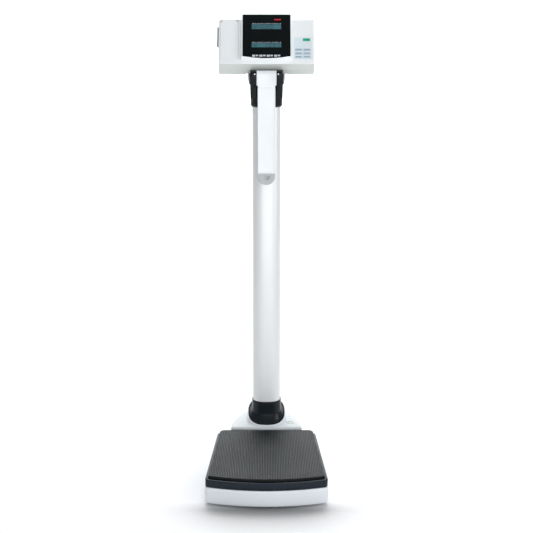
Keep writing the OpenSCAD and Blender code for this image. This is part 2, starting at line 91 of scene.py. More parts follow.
def make_studio():
    area_light("front_light", (0.4, -3.6, 1.3), (0, 0, 0.75), (3.0, 1.6), 46)
    area_light("side_light", (2.4, -1.6, 1.9), (0, 0, 0.7), (1.2, 2.0), 22)
    area_light("top_light", (0, 1.5, 2.9), (0, -0.1, 0.1), (2.2, 1.4), 66)
    area_light("backdrop_light", (0, 2.8, 2.2), (0, 6.0, 1.3), (5.0, 1.6), 170)
    world = bpy.data.worlds.new("studio_air")
    world.use_nodes = True
    sky = world.node_tree.nodes["Background"]
    sky.inputs["Color"].default_value = (0.97, 0.98, 1.0, 1)
    sky.inputs["Strength"].default_value = 0.46
    scene.world = world
    scene.view_settings.view_transform = "Standard"


# ---------------------------------------------------------------- sockets and shaders
class Socket:
    """A node socket that takes part in Python arithmetic: an expression adds its Math nodes."""

    def __init__(self, tree, link):
        self.tree = tree
        self.link = link

    def maths(self, operation, *values):
        return self.tree.maths(operation, *values)

    def __add__(self, other):
        return self.maths("ADD", self, other)

    def __sub__(self, other):
        return self.maths("SUBTRACT", self, other)

    def __rsub__(self, other):
        return self.maths("SUBTRACT", other, self)

    def __mul__(self, other):
        return self.maths("MULTIPLY", self, other)

    __radd__, __rmul__ = __add__, __mul__


class Shader:
    """A material whose tree is written as calls: node() adds any node, mix() blends two colours."""

    def __init__(self, name):
        self.material = bpy.data.materials.new(name)
        self.material.use_nodes = True
        self.tree = self.material.node_tree
        self.tree.nodes.clear()
        self.surface = self.tree.nodes.new("ShaderNodeBsdfPrincipled")
        output = self.tree.nodes.new("ShaderNodeOutputMaterial")
        self.tree.links.new(self.surface.outputs[0], output.inputs["Surface"])

    def plug(self, socket, value):
        if isinstance(value, Socket):
            self.tree.links.new(value.link, socket)
        elif value is not None:
            socket.default_value = value

    def node(self, kind, settings, *values, output=0, **named):
        made = self.tree.nodes.new(kind)
        for key, setting in settings.items():
            if key == "stops":
                fill_ramp(made.color_ramp, setting)
            else:
                setattr(made, key, setting)
        for socket, value in zip(made.inputs, values):
            self.plug(socket, value)
        for key, value in named.items():
            self.plug(made.inputs[key.replace("_", " ")], value)
        return Socket(self, made.outputs[output])

    def maths(self, operation, *values):
        return self.node("ShaderNodeMath", {"operation": operation}, *values)

    def place(self):
        return self.node("ShaderNodeTexCoord", {}, output="Object")

    def mapped(self, scale, turn=(0, 0, 0)):
        return self.node("ShaderNodeMapping", {}, Vector=self.place(), Rotation=turn, Scale=scale)

    def noise(self, vector, scale, detail=3.0, roughness=0.5):
        return self.node("ShaderNodeTexNoise", {}, Vector=vector, Scale=scale, Detail=detail,
                         Roughness=roughness)

    def ramp(self, value, stops):
        return self.node("ShaderNodeValToRGB", {"stops": stops}, Fac=value)

    def mix(self, factor, first, second):
        made = self.tree.nodes.new("ShaderNodeMix")
        made.data_type = "RGBA"
        for index, value in ((0, factor), (6, first), (7, second)):
            self.plug(made.inputs[index], value)
        return Socket(self, made.outputs[2])

    def bump(self, height, distance, strength):
        return self.node("ShaderNodeBump", {}, Height=height, Distance=distance, Strength=strength)

    def finish(self, colour, roughness, normal=None, **constants):
        self.plug(self.surface.inputs["Base Color"], colour)
        self.plug(self.surface.inputs["Roughness"], roughness)
        if normal is not None:
            self.plug(self.surface.inputs["Normal"], normal)
        for key, value in constants.items():
            self.plug(self.surface.inputs[key.replace("_", " ")], value)
        return self.material


def fill_ramp(ramp, stops):
    while len(ramp.elements) < len(stops):
        ramp.elements.new(1.0)
    for element, (position, colour) in zip(ramp.elements, stops):
        element.position = position
        element.color = (*colour[:3], 1)


def rgb(colour, factor=1.0):
    return (colour[0] * factor, colour[1] * factor, colour[2] * factor, 1)


# ---------------------------------------------------------------- finishes
def moulded_plastic(name, colour, roughness, grain=0.00004, cloud=0.03, shine=0.5):
    """Moulded plastic: fine spark-eroded grain, faint flow clouds and a slight change of gloss."""
    s = Shader(name)
    fine = s.noise(s.place(), 2600, 2.0)
    flow = s.noise(s.place(), 7, 4.0)
    smudge = s.noise(s.place(), 38, 5.0, 0.6)
    tint = s.mix(flow, rgb(colour, 1 - cloud), rgb(colour, 1 + cloud))
    gloss = roughness - 0.03 + smudge * 0.07 + fine * 0.02
    return s.finish(tint, gloss, s.bump(fine, grain, 0.6), IOR=1.47, Specular_IOR_Level=shine)


def painted_column(name, colour):
    """Silver-grey powder paint over an extrusion: orange peel, metal flake and long die lines."""
    s = Shader(name)
    peel = s.noise(s.place(), 900, 2.0)
    flake = s.noise(s.place(), 5200, 1.0)
    lines = s.noise(s.mapped((420, 420, 0.6)), 1.0, 2.0)
    tone = s.mix(flake, rgb(colour, 0.955), rgb(colour, 1.045))
    height = peel * 0.7 + lines * 0.3
    return s.finish(tone, 0.33 + flake * 0.1 + lines * 0.04, s.bump(height, 0.00006, 0.5), Metallic=0.25,
                    Coat_Weight=0.15, Coat_Roughness=0.18)


def brushed_metal(name, colour, stretch, roughness):
    """Zinc or bright steel with a drawn grain along one axis."""
    s = Shader(name)
    grain = s.noise(s.mapped(tuple(14 * v for v in stretch)), 1.0, 4.0, 0.65)
    patch = s.noise(s.place(), 24, 3.0)
    tone = s.mix(patch, rgb(colour, 0.86), rgb(colour, 1.08))
    return s.finish(tone, roughness + grain * 0.16, s.bump(grain, 0.00003, 0.5), Metallic=1.0)


def worn_rubber(name, colour, roughness):
    """Black rubber: pebbled skin with pale dust in patches."""
    s = Shader(name)
    pebble = s.node("ShaderNodeTexVoronoi", {}, Vector=s.place(), Scale=1500)
    dust = s.ramp(s.noise(s.place(), 16, 6.0, 0.62), [(0.42, (0, 0, 0)), (0.75, (1, 1, 1))])
    tone = s.mix(dust * 0.35, rgb(colour), rgb(colour, 1.9))
    return s.finish(tone, roughness + dust * 0.1, s.bump(pebble, 0.00012, 0.5), IOR=1.5)


def polished_lens(name, colour):
    """Black acrylic with a hard gloss, faint wiping marks and a shade of warmth in its depth."""
    s = Shader(name)
    wipe = s.noise(s.mapped((30, 160, 30), (0, 0, 0.5)), 1.0, 4.0)
    tone = s.mix(s.noise(s.place(), 20, 2.0), rgb(colour, 0.8), rgb(colour, 1.3))
    return s.finish(tone, 0.05 + wipe * 0.05, None, Specular_IOR_Level=0.10)


def display_glass(name, colour):
    """Backlit liquid crystal: brighter in the middle of the light guide, with a fine cell grid."""
    s = Shader(name)
    glow = s.noise(s.mapped((22, 8, 8)), 1.0, 2.0)
    grid = s.node("ShaderNodeTexChecker", {}, Vector=s.place(), Scale=2400)
    tone = s.mix(glow, rgb(colour, 0.72), rgb(colour, 1.18))
    lit = s.mix(s.node("ShaderNodeSeparateColor", {}, Color=grid) * 0.12, tone, rgb(colour, 0.6))
    return s.finish(lit, 0.22, None, Emission_Color=lit, Emission_Strength=0.25)


def ink(name, colour):
    """Screen-printed ink with a slightly broken edge tone."""
    s = Shader(name)
    speck = s.noise(s.place(), 3200, 2.0)
    return s.finish(s.mix(speck, rgb(colour, 0.9), rgb(colour, 1.08)), 0.4 + speck * 0.08)


def silicone(name, colour):
    """Silicone key cap: soft matt skin, paler where fingers polish it."""
    s = Shader(name)
    skin = s.noise(s.place(), 1800, 3.0)
    touch = s.noise(s.place(), 90, 3.0)
    tone = s.mix(touch, rgb(colour, 0.94), rgb(colour, 1.08))
    return s.finish(tone, 0.42 + touch * 0.12, s.bump(skin, 0.00005, 0.5))


def board_finish(name, colour):
    """Circuit board: solder mask over faint copper tracks."""
    s = Shader(name)
    track = s.node("ShaderNodeTexBrick", {}, Vector=s.mapped((160, 160, 160)), Scale=2.0)
    copper = s.node("ShaderNodeSeparateColor", {}, Color=track) * 0.25
    tone = s.mix(copper, rgb(colour), rgb((0.35, 0.28, 0.08)))
    return s.finish(tone, 0.3 + s.noise(s.place(), 300) * 0.15)


def clear_vial(name, colour):
    """Tinted level fluid under a clear dome."""
    s = Shader(name)
    cloud = s.noise(s.place(), 60, 2.0)
    return s.finish(s.mix(cloud, rgb(colour, 0.9), rgb(colour, 1.1)), 0.05 + cloud * 0.03, None,
                    Transmission_Weight=0.45, IOR=1.42, Coat_Weight=0.5)


# colour, roughness, then grain height, strength of the clouds and shine where they differ from the usual
PLASTICS = {
    "white_casing": ((0.70, 0.735, 0.77), 0.34),
    # The rear cover's white is the casing white darkened as painted shade, so its top reads no brighter than
    # the casing's front under the top light.
    "cover_white_painted_shade": ((0.58, 0.62, 0.635), 0.36),
    "white_console": ((0.83, 0.865, 0.88), 0.36),
    "keypad_film": ((0.70, 0.78, 0.83), 0.3),
    # Grey of the chin and rear shell: partly a greyer plastic, partly painted shade for the console's
    # downward-facing chin.
    "chin_grey_and_painted_shade": ((0.56, 0.59, 0.565), 0.40),
    "paddle_white": ((0.80, 0.83, 0.86), 0.34),
    "black_tray": ((0.005, 0.011, 0.019), 0.24, 0.00004, 0.1, 0.3),
    "black_trim": ((0.002, 0.006, 0.009), 0.24, 0.00004, 0.1, 0.3),
    "bracket_black": ((0.004, 0.006, 0.007), 0.24, 0.00003, 0.1, 0.25),
    "rubber_edge": ((0.003, 0.004, 0.0045), 0.5, 0.00006, 0.1, 0.2),
    "grey_plastic": ((0.42, 0.44, 0.45), 0.42),
    # The cheeks' grey is a lightened grey plastic: partly their colour, partly a painted highlight for their
    # lit side facets.
    "cheek_grey_and_painted_highlight": ((0.66, 0.68, 0.72), 0.3),
    "dark_plastic": ((0.06, 0.063, 0.068), 0.5, 0.00006),
    "pale_plastic": ((0.62, 0.64, 0.64), 0.4),
    "tear_grey": ((0.17, 0.22, 0.215), 0.45),
    "paper": ((0.88, 0.88, 0.86), 0.8, 0.00002),
}
RUBBERS = {
    "tread_rubber": ((0.005, 0.012, 0.016), 0.40),
    "castor_rubber": ((0.02, 0.02, 0.022), 0.7),
    "foot_rubber": ((0.025, 0.025, 0.027), 0.72),
}
METALS = {
    "plate_steel": ((0.50, 0.51, 0.53), (1, 50, 50), 0.38),
    "pin_steel": ((0.62, 0.63, 0.65), (1, 80, 80), 0.24),
    "mast_aluminium": ((0.66, 0.67, 0.69), (60, 60, 0.6), 0.28),
    "cell_aluminium": ((0.66, 0.67, 0.69), (1, 40, 40), 0.32),
}
SILICONES = {
    "grey_rubber": (0.55, 0.60, 0.64),
    "green_key": (0.003, 0.36, 0.19),
    "grey_key": (0.44, 0.55, 0.62),
}
INKS = {
    "lcd_ink": (0.010, 0.030, 0.038),
    "print_white": (0.55, 0.60, 0.64),
    "print_red": (0.55, 0.015, 0.02),
    "print_blue": (0.10, 0.22, 0.30),
}


def make_finishes():
    made = {name: moulded_plastic(name, *values) for name, values in PLASTICS.items()}
    made.update({name: worn_rubber(name, *values) for name, values in RUBBERS.items()})
    made.update({name: brushed_metal(name, *values) for name, values in METALS.items()})
    made.update({name: silicone(name, colour) for name, colour in SILICONES.items()})
    made.update({name: ink(name, colour) for name, colour in INKS.items()})
    made["column_paint"] = painted_column("column_paint", (0.72, 0.735, 0.74))
    made["board"] = board_finish("board", (0.03, 0.16, 0.07))
    made["level_glass"] = clear_vial("level_glass", (0.66, 0.74, 0.62))
    made["lens_black"] = polished_lens("lens_black", (0.003, 0.005, 0.0055))
    made["lcd"] = display_glass("lcd", (0.042, 0.135, 0.165))
    return made


# ---------------------------------------------------------------- mesh tools
def add_object(name, mesh):
    made = bpy.data.objects.new(name, mesh)
    scene.collection.objects.link(made)
    return made


def smooth(mesh):
    """Smooth shading, with edges over 32 degrees kept sharp."""
    mesh.shade_smooth()
    mesh.set_sharp_from_angle(angle=math.radians(32))


def mesh_from(name, points, faces, matrix=None):
    """A mesh object from points in millimetres; doubles are merged and faces turned outwards."""
    mesh = bpy.data.meshes.new(name)
    mesh.from_pydata([Vector(p) * MM for p in points], [], faces)
    bm = bmesh.new()
    bm.from_mesh(mesh)
    bmesh.ops.remove_doubles(bm, verts=bm.verts, dist=0.00001)
    bmesh.ops.recalc_face_normals(bm, faces=bm.faces)
    bm.to_mesh(mesh)
    bm.free()
    if matrix is not None:
        mesh.transform(matrix)
    smooth(mesh)
    return add_object(name, mesh)


def loft(name, rings, loop=False, matrix=None):
    """Skins rings of equal length. A loop joins the last ring to the first; otherwise the ends are capped."""
    n = len(rings[0])
    points = [p for ring in rings for p in ring]
    faces = []
    last = len(rings) if loop else len(rings) - 1
    for r in range(last):
        a, b = r * n, ((r + 1) % len(rings)) * n
        faces += [(a + i, a + (i + 1) % n, b + (i + 1) % n, b + i) for i in range(n)]
    if not loop:
        faces.append(tuple(range(n)))
        faces.append(tuple(range((len(rings) - 1) * n, len(rings) * n)))
    return mesh_from(name, points, faces, matrix)


def stack(name, plan, profile, loop=False, matrix=None):
    """Lofts a plan outline upwards: profile lists (height, inset) pairs."""
    rings = [[(x, y, z) for x, y in plan(inset)] for z, inset in profile]
    return loft(name, rings, loop, matrix)


def rounded(z0, z1, radius):
    """Profile of a slab from z0 to z1 with both edges rounded."""
    turn = [math.radians(90 * i / 4) for i in range(5)]
    low = [(z0 + radius * (1 - math.sin(a)), radius * (1 - math.cos(a))) for a in reversed(turn)]
    high = [(z1 - radius * (1 - math.sin(a)), radius * (1 - math.cos(a))) for a in turn]
    return low + high


def rectangle(x0, x1, y0, y1, radius, steps=5):
    """Plan function of a rectangle with round corners; the inset keeps the corners round."""

    def plan(inset):
        r = max(radius - inset, 0.05)
        points = []
        for k, (cx, cy) in enumerate(((x1, y1), (x0, y1), (x0, y0), (x1, y0))):
            sx, sy = (1, -1, -1, 1)[k], (1, 1, -1, -1)[k]
            ox, oy = cx - sx * (inset + r), cy - sy * (inset + r)
            for i in range(steps + 1):
                a = math.radians(90 * k + 90 * i / steps)
                points.append((ox + r * math.cos(a), oy + r * math.sin(a)))
        return points

    return plan


def arc(cx, cy, radius, start, end, steps, first=0):
    turns = [math.radians(start + (end - start) * i / steps) for i in range(first, steps + 1)]
    return [(cx + radius * math.cos(a), cy + radius * math.sin(a)) for a in turns]


def oval(a, b):
    """Plan function of the column's section: an ellipse with flattened sides."""

    def power(v):
        return math.copysign(abs(v) ** 0.77, v)

    def plan(inset):
        turns = [2 * math.pi * i / OVAL_STEPS for i in range(OVAL_STEPS)]
        return [((a - inset) * power(math.cos(t)), (b - inset) * power(math.sin(t))) for t in turns]

    return plan


def applied(thing):
    """Turns an object with live modifiers into a plain mesh."""
    depsgraph = bpy.context.evaluated_depsgraph_get()
    mesh = bpy.data.meshes.new_from_object(thing.evaluated_get(depsgraph))
    thing.modifiers.clear()
    thing.data = mesh
    return thing


def carve(thing, *cutters, operation="DIFFERENCE"):
    """Cuts the cutters out of a thing, or joins them, and removes the cutters."""
    for cutter in cutters:
        step = thing.modifiers.new("cut", "BOOLEAN")
        step.operation = operation
        step.solver = "EXACT"
        step.object = cutter
    applied(thing)
    for cutter in cutters:
        bpy.data.objects.remove(cutter)
    smooth(thing.data)
    return thing


def soften(thing, width, segments=2):
    """Rounds the edges over 34 degrees that remain."""
    step = thing.modifiers.new("soften", "BEVEL")
    step.width = width * MM
    step.segments = segments
    step.limit_method = "ANGLE"
    step.angle_limit = math.radians(34)
    step.use_clamp_overlap = True
    applied(thing)
    smooth(thing.data)
    return thing


def clean_copy(node, name):
    """A merged copy of a CAD node's mesh, with flat areas joined back into single faces."""
    mesh = frame["nodes"][node].data.copy()
    bm = bmesh.new()
    bm.from_mesh(mesh)
    bmesh.ops.remove_doubles(bm, verts=bm.verts, dist=0.00001)
    bmesh.ops.dissolve_limit(bm, angle_limit=math.radians(0.6), verts=bm.verts, edges=bm.edges)
    bm.to_mesh(mesh)
    bm.free()
    mesh.materials.clear()
    smooth(mesh)
    return add_object(name, mesh)


def box_solid(name, x, y, z, matrix=None):
    corners = [(a, b, c) for a in x for b in y for c in z]
    faces = [(0, 1, 3, 2), (4, 6, 7, 5), (0, 4, 5, 1), (2, 3, 7, 6), (0, 2, 6, 4), (1, 5, 7, 3)]
    return mesh_from(name, corners, faces, matrix)


FINISH = {}
STOOD_FOR = set()


def settle(piece, body, finish, slot=None, *nodes):
    """Gives a piece its finish, its body and the CAD nodes that it stands for. Its slot is not used."""
    piece.data.materials.clear()
    piece.data.materials.append(FINISH[finish])
    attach(piece, body)
    if nodes:
        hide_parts(*nodes)
        STOOD_FOR.update(nodes)
    return piece


# ---------------------------------------------------------------- platform and base
CASING_LO, CASING_HI = span("base_casing")
MAT_LO, MAT_HI = span("tread_mat")
TRAY_LO, TRAY_HI = span("platform_tray")
COVER_LO, COVER_HI = span("rear_cover")

NOSE_R = 13.0
HEEL_R = 26.0
BOW_R = 600.0
TAPER = 20.0
PLAT_BACK = TRAY_HI[1] + 1.5
SIDE_X = CASING_HI[0] - NOSE_R
BACK_X = CASING_HI[0] - TAPER - HEEL_R
BOW_Y = BOW_R + CASING_LO[1]
BOW_ANGLE = math.degrees(math.asin(SIDE_X / (BOW_R - NOSE_R)))
FRONT_Y = BOW_Y - (BOW_R - NOSE_R) * math.cos(math.radians(BOW_ANGLE))
REAR_Y = PLAT_BACK - HEEL_R
SIDE_RUN = math.hypot(BACK_X - SIDE_X, REAR_Y - FRONT_Y)
SIDE_TURN = math.acos((NOSE_R - HEEL_R) / SIDE_RUN)
SIDE_ANGLE = math.degrees(math.atan2(REAR_Y - FRONT_Y, BACK_X - SIDE_X) - SIDE_TURN)
COLUMN_LO, COLUMN_HI = span("column_tube")
COLUMN_A = COLUMN_HI[0]
COLUMN_B = (COLUMN_HI[1] - COLUMN_LO[1]) / 2
COLUMN_Y = (COLUMN_HI[1] + COLUMN_LO[1]) / 2
AT_COLUMN = Matrix.Translation((0, COLUMN_Y * MM, 0))
COVER_FLAT = span("collar_ring")[0][2]
RING_A, RING_B = 58.0, 58.5
THROAT_A, THROAT_B = 48.4, 40.8
COLUMN_GAP = 0.35
RING_SIDE_Z, RING_LEAN = 120.0, 22.0
BOOT_SIDE_Z, BOOT_LEAN = 132.0, 17.5
LOBE_A = COVER_HI[0]
LOBE_Y = 100.0
LOBE_B = COVER_HI[1] - LOBE_Y


def platform_plan(d):
    """Tapered platform outline with a bowed front, drawn in by d."""
    right = arc(SIDE_X, FRONT_Y, NOSE_R - d, -90 + BOW_ANGLE, SIDE_ANGLE, 12, 1)
    right += arc(BACK_X, REAR_Y, HEEL_R - d, SIDE_ANGLE, 90, 12)
    left = [(-x, y) for x, y in reversed(right)]
    return arc(0, BOW_Y, BOW_R - d, -90 - BOW_ANGLE, -90 + BOW_ANGLE, 48) + right + left


def cover_plan(d):
    """D-shaped outline of the rear cover: straight front, half ellipse behind."""
    corner = max(7 - d, 1.0)
    front = PLAT_BACK + 4 + d
    a, b = LOBE_A - d, LOBE_B - d
    start = math.asin(min((front + corner - LOBE_Y) / b, 1))
    sweep = [start + (math.pi - 2 * start) * i / 72 for i in range(73)]
    back = [(a * math.cos(t), LOBE_Y + b * math.sin(t)) for t in sweep]
    return arc(-a + corner, front + corner, corner, 180, 270, 5, 1) + arc(
        a - corner, front + corner, corner, 270, 360, 5)[:-1] + back


def lobe_plan(d):
    """Outline of the casing's rear lobe, which runs forward under the platform."""
    a, b = LOBE_A - d, LOBE_B - d
    back = [(a * math.cos(math.pi * i / 72), LOBE_Y + b * math.sin(math.pi * i / 72)) for i in range(73)]
    return [(-a, PLAT_BACK - 12), (a, PLAT_BACK - 12)] + back


def wall_profile(low, top):
    """Casing wall from the floor edge to the top: a rolled bottom edge and a small bright top edge."""
    bottom = [(low, 7.5), (low, 4.6), (low + 0.5, 3.0), (low + 1.6, 1.6), (low + 3.4, 0.7), (low + 6, 0.2),
              (low + 10, 0)]
    return bottom + [(top - 14, 0.2), (top - 4, 0.7), (top - 1.4, 1.1), (top - 0.4, 1.7), (top, 2.8)]


def leaning(side_z, lean, y):
    """Height at y, from the column's axis, on a plane that rises backwards."""
    return side_z + y * math.tan(math.radians(lean))


def make_casing():
    low, top = CASING_LO[2], CASING_HI[2]
    inside = [(top, 5.0), (top - 1, 5.6), (low + 3, 5.8)]
    shell = stack("casing_shell", platform_plan, wall_profile(low, top) + inside)
    settle(shell, "base", "white_casing", None, "base_casing")
    lobe = stack("casing_lobe", lobe_plan, wall_profile(low, top))
    slots = []
    for name in ("castor_left", "castor_right"):
        lo, hi = span(name)
        slots.append(box_solid(name + "_slot", (lo[0] - 1.5, hi[0] + 1.5), (lo[1] - 3, CASING_HI[1] + 20),
                               (low - 5, top - 4)))
    carve(lobe, *slots)
    settle(soften(lobe, 0.6), "base", "white_casing", None, "base_casing")


def make_tray():
    low = TRAY_LO[2]
    profile = [(low, 12), (low, 3.2), (low + 0.5, 2.1), (low + 1.6, 1.7), (low + 20.6, 1.6),
               (low + 21.4, 1.8), (low + 22.1, 2.5), (low + 22.5, 3.5), (low + 23.0, 6.5),
               (low + 23.2, 8.6), (low + 22.6, 9.2), (low + 22.6, 12)]
    settle(stack("load_plate", platform_plan, profile), "platform", "black_tray", None, "platform_tray")


# ---------------------------------------------------------------- geometry node trees
class Tree:
    """A geometry node tree written as calls; plug() wires, maths() adds a Math node."""

    def __init__(self, name, inputs):
        self.group = bpy.data.node_groups.new(name, "GeometryNodeTree")
        self.group.is_modifier = True
        self.group.interface.new_socket("Geometry", in_out="OUTPUT", socket_type="NodeSocketGeometry")
        self.inputs = {}
        for label, kind, value in inputs:
            item = self.group.interface.new_socket(label, in_out="INPUT", socket_type=kind)
            self.inputs[label] = (item.identifier, value)
        self.entry = self.group.nodes.new("NodeGroupInput")
        self.exit = self.group.nodes.new("NodeGroupOutput")

    def __getitem__(self, label):
        return Socket(self, self.entry.outputs[label])

    def plug(self, socket, value):
        if isinstance(value, Socket):
            self.group.links.new(value.link, socket)
        else:
            socket.default_value = value

    def node(self, kind, settings=None, output=0, **values):
        made = self.group.nodes.new(kind)
        for key, setting in (settings or {}).items():
            setattr(made, key, setting)
        for key, value in values.items():
            self.plug(made.inputs[key.replace("_", " ")], value)
        return Socket(self, made.outputs[output])

    def maths(self, operation, *values):
        made = self.group.nodes.new("ShaderNodeMath")
        made.operation = operation
        for socket, value in zip(made.inputs, values):
            self.plug(socket, value)
        return Socket(self, made.outputs[0])

    def vector(self, x, y, z):
        return self.node("ShaderNodeCombineXYZ", X=x, Y=y, Z=z)

    def build(self, name, geometry, finish):
        """Ends the tree in Realize Instances and Set Material and turns its result into a mesh object."""
        solid = self.node("GeometryNodeRealizeInstances", Geometry=geometry)
        dressed = self.node("GeometryNodeSetMaterial", Geometry=solid, Material=FINISH[finish])
        self.group.links.new(dressed.link, self.exit.inputs[0])
        made = add_object(name, bpy.data.meshes.new(name))
        step = made.modifiers.new("nodes", "NODES")
        step.node_group = self.group
        for identifier, value in self.inputs.values():
            step[identifier] = value
        applied(made)
        return made


RIB_PITCH = 4.75
RIB_INSET = 13.2
RIB_FOOT = 3.0
RIB_TOP = 1.8
RIB_HEIGHT = 1.55


def make_mat():
    low, top = MAT_LO[2], MAT_HI[2]
    edge = [(low - 2.6, 12), (low - 2.6, 10.3), (top - 0.9, 10.1), (top - 0.3, 10.4), (top - 0.3, 12)]
    settle(stack("mat_edge", platform_plan, edge), "platform", "rubber_edge", "tread_rubber", "tread_mat")
    sheet = [(top - 1.8, 10.6), (top - 0.3, 10.35), (top, 10.8), (top, 11.7), (top - 0.4, 12.1),
             (top - 1.6, 12.4)]
    settle(stack("mat_sheet", platform_plan, sheet), "platform", "tread_rubber", None, "tread_mat")
    d = RIB_INSET
    edge_x = SIDE_X + NOSE_R - d
    half = int(edge_x / RIB_PITCH)
    tree = Tree("rib_field", [
        ("Pitch", "NodeSocketFloat", RIB_PITCH * MM),
        ("Count", "NodeSocketInt", 2 * half + 1),
        ("Rib Width", "NodeSocketFloat", RIB_FOOT * MM),
        ("Rib Top", "NodeSocketFloat", RIB_TOP * MM),
        ("Rib Height", "NodeSocketFloat", RIB_HEIGHT * MM)])
    line = tree.node("GeometryNodeMeshLine", {"mode": "OFFSET"}, Count=tree["Count"],
                     Start_Location=(-half * RIB_PITCH * MM, 0, 0), Offset=tree.vector(tree["Pitch"], 0, 0))
    x = tree.node("ShaderNodeSeparateXYZ", Vector=tree.node("GeometryNodeInputPosition"))
    out = tree.maths("ABSOLUTE", x)
    bow, r = (BOW_R - d) * MM, (HEEL_R - d) * MM
    front = BOW_Y * MM - tree.maths("SQRT", bow * bow - x * x)
    over = tree.maths("MAXIMUM", out - BACK_X * MM, 0.0)
    tail = REAR_Y * MM + tree.maths("SQRT", tree.maths("MAXIMUM", r * r - over * over, 0.0))
    slope = 1 / math.tan(math.radians(SIDE_ANGLE))
    flank = FRONT_Y * MM + (edge_x * MM - out) * slope
    back = tree.maths("MINIMUM", tail, flank)
    rib = tree.node("GeometryNodeCurvePrimitiveLine", Start=(0, -0.5, 0), End=(0, 0.5, 0))
    outline = tree.node("GeometryNodeCurvePrimitiveQuadrilateral", {"mode": "TRAPEZOID"},
                        Height=tree["Rib Height"], Bottom_Width=tree["Rib Top"],
                        Top_Width=tree["Rib Width"], Offset=0.0)
    bar = tree.node("GeometryNodeCurveToMesh", Curve=rib, Profile_Curve=outline, Fill_Caps=True)
    middle = tree.vector(x, (front + back) * 0.5, (top - 0.92) * MM)
    placed = tree.node("GeometryNodeSetPosition", Geometry=line, Position=middle)
    ribs = tree.node("GeometryNodeInstanceOnPoints", Points=placed, Instance=bar,
                     Scale=tree.vector(1.0, rib_length(tree, front, back), 1.0))
    field = tree.build("mat_ribs", ribs, "tread_rubber")
    bm = bmesh.new()
    bm.from_mesh(field.data)
    bmesh.ops.recalc_face_normals(bm, faces=bm.faces)
    bm.to_mesh(field.data)
    bm.free()
    settle(field, "platform", "tread_rubber")


def rib_length(tree, front, back):
    """Length field of the ribs: worked out from x, which placing the points doesn't change."""
    return tree.maths("MAXIMUM", back - front, 0.002)


def make_rear_cover():
    low, top = COVER_LO[2], COVER_FLAT
    profile = [(low, 4), (low, 1.2), (low + 0.4, 0.5), (low + 1.2, 0.1), (top - 9, 0.6), (top - 5.5, 1.5),
               (top - 3, 3), (top - 1.4, 5.2), (top - 0.5, 8), (top - 0.1, 12), (top, 22), (top, 40)]
    # The cover's shell takes the darkened white as painted shade; its throat keeps the casing white.
    cover = stack("rear_cover_shell", cover_plan, profile)
    settle(cover, "base", "cover_white_painted_shade", "white_casing", "rear_cover")
    lip = [(5.5, 200), (5.5, 30), (4.6, 12), (3.6, 6), (2.8, 2.6), (2.0, 0.9), (1.2, 0.5), (0.5, 1.0),
           (0.15, 2.4), (0.15, 30), (0.15, 200)]
    rings = []
    for grow, drop in lip:
        ring = []
        for x, y in oval(RING_A + grow, RING_B + grow)(0):
            ring.append((x, y, max(leaning(RING_SIDE_Z, RING_LEAN, y) - drop, top - 3 - 0.02 * grow)))
        rings.append(ring)
    throat = loft("cover_throat", rings, False, AT_COLUMN)
    settle(throat, "base", "white_casing", None, "rear_cover")


# ---------------------------------------------------------------- column
def level_ring(z, a, b):
    return [(x, y, z) for x, y in oval(a, b)(0)]


def boot_ring(a, b, rise=0.0):
    """Ring on the leaning plane between the collar and the boot."""
    return [(x, y, leaning(BOOT_SIDE_Z, BOOT_LEAN, y) + rise) for x, y in oval(a, b)(0)]


def sleeve(name, sections, body, finish, node):
    """A tubular piece round the column: its sections are (height, half width, half depth)."""
    rings = [level_ring(*section) for section in sections]
    return settle(loft(name, rings, True, AT_COLUMN), body, finish, None, node)


def make_column():
    a, b = COLUMN_A, COLUMN_B
    low, top = COLUMN_LO[2], COLUMN_HI[2]
    wall = 2.6
    sections = [(low, a, b), (top - 0.6, a, b), (top - 0.1, a - 0.2, b - 0.2), (top, a - 0.6, b - 0.6),
                (top, a - wall, b - wall), (low, a - wall, b - wall)]
    sleeve("column_shell", sections, "base", "column_paint", "column_tube")


def make_collar():
    """Collar that slopes in and up from the throat's lip to the boot; it dips between the two."""
    a, b = COLUMN_A + COLUMN_GAP, COLUMN_B + COLUMN_GAP
    rings = [level_ring(COVER_FLAT, a, b), level_ring(COVER_FLAT, RING_A - 0.3, RING_B - 0.3)]
    slope = [(0.0, 0.9, 0.3), (0.0, 0.15, 0.0), (0.03, 0.0, 0.6), (0.14, 0.2, 1.2), (0.22, 1.6, 0.9),
             (0.34, 2.6, 0.6), (0.52, 3.0, 0.3), (0.72, 2.2, 0.1), (0.9, 0.8, 0), (1.0, 0, 0)]
    for f, dip, pull in slope:
        ring = []
        for (ox, oy), (ix, iy) in zip(oval(RING_A - pull, RING_B - pull)(0), oval(THROAT_A, THROAT_B)(0)):
            x, y = ox + (ix - ox) * f, oy + (iy - oy) * f
            outer, inner = leaning(RING_SIDE_Z, RING_LEAN, oy), leaning(BOOT_SIDE_Z, BOOT_LEAN, iy)
            ring.append((x, y, max(outer + (inner - outer) * f - dip, COVER_FLAT + 0.2)))
        rings.append(ring)
    rings.append(boot_ring(a, b))
    settle(loft("collar", rings, True, AT_COLUMN), "base", "black_trim", None, "collar_ring")


def make_boot():
    a, b = COLUMN_A, COLUMN_B
    top = span("column_boot")[1][2]
    rings = []
    for rise, grow in ((0, COLUMN_GAP), (0, 4.9), (0.9, 5.0), (1.6, 4.3), (3.2, 4.0)):
        rings.append(boot_ring(a + grow, b + grow, rise))
    for drop, grow in ((12, 3.2), (4, 2.8), (1.2, 2.6), (0.3, 2.2), (0, 1.6), (0, COLUMN_GAP)):
        rings.append(level_ring(top - drop, a + grow, b + grow))
    settle(loft("boot", rings, True, AT_COLUMN), "base", "black_trim", None, "column_boot")


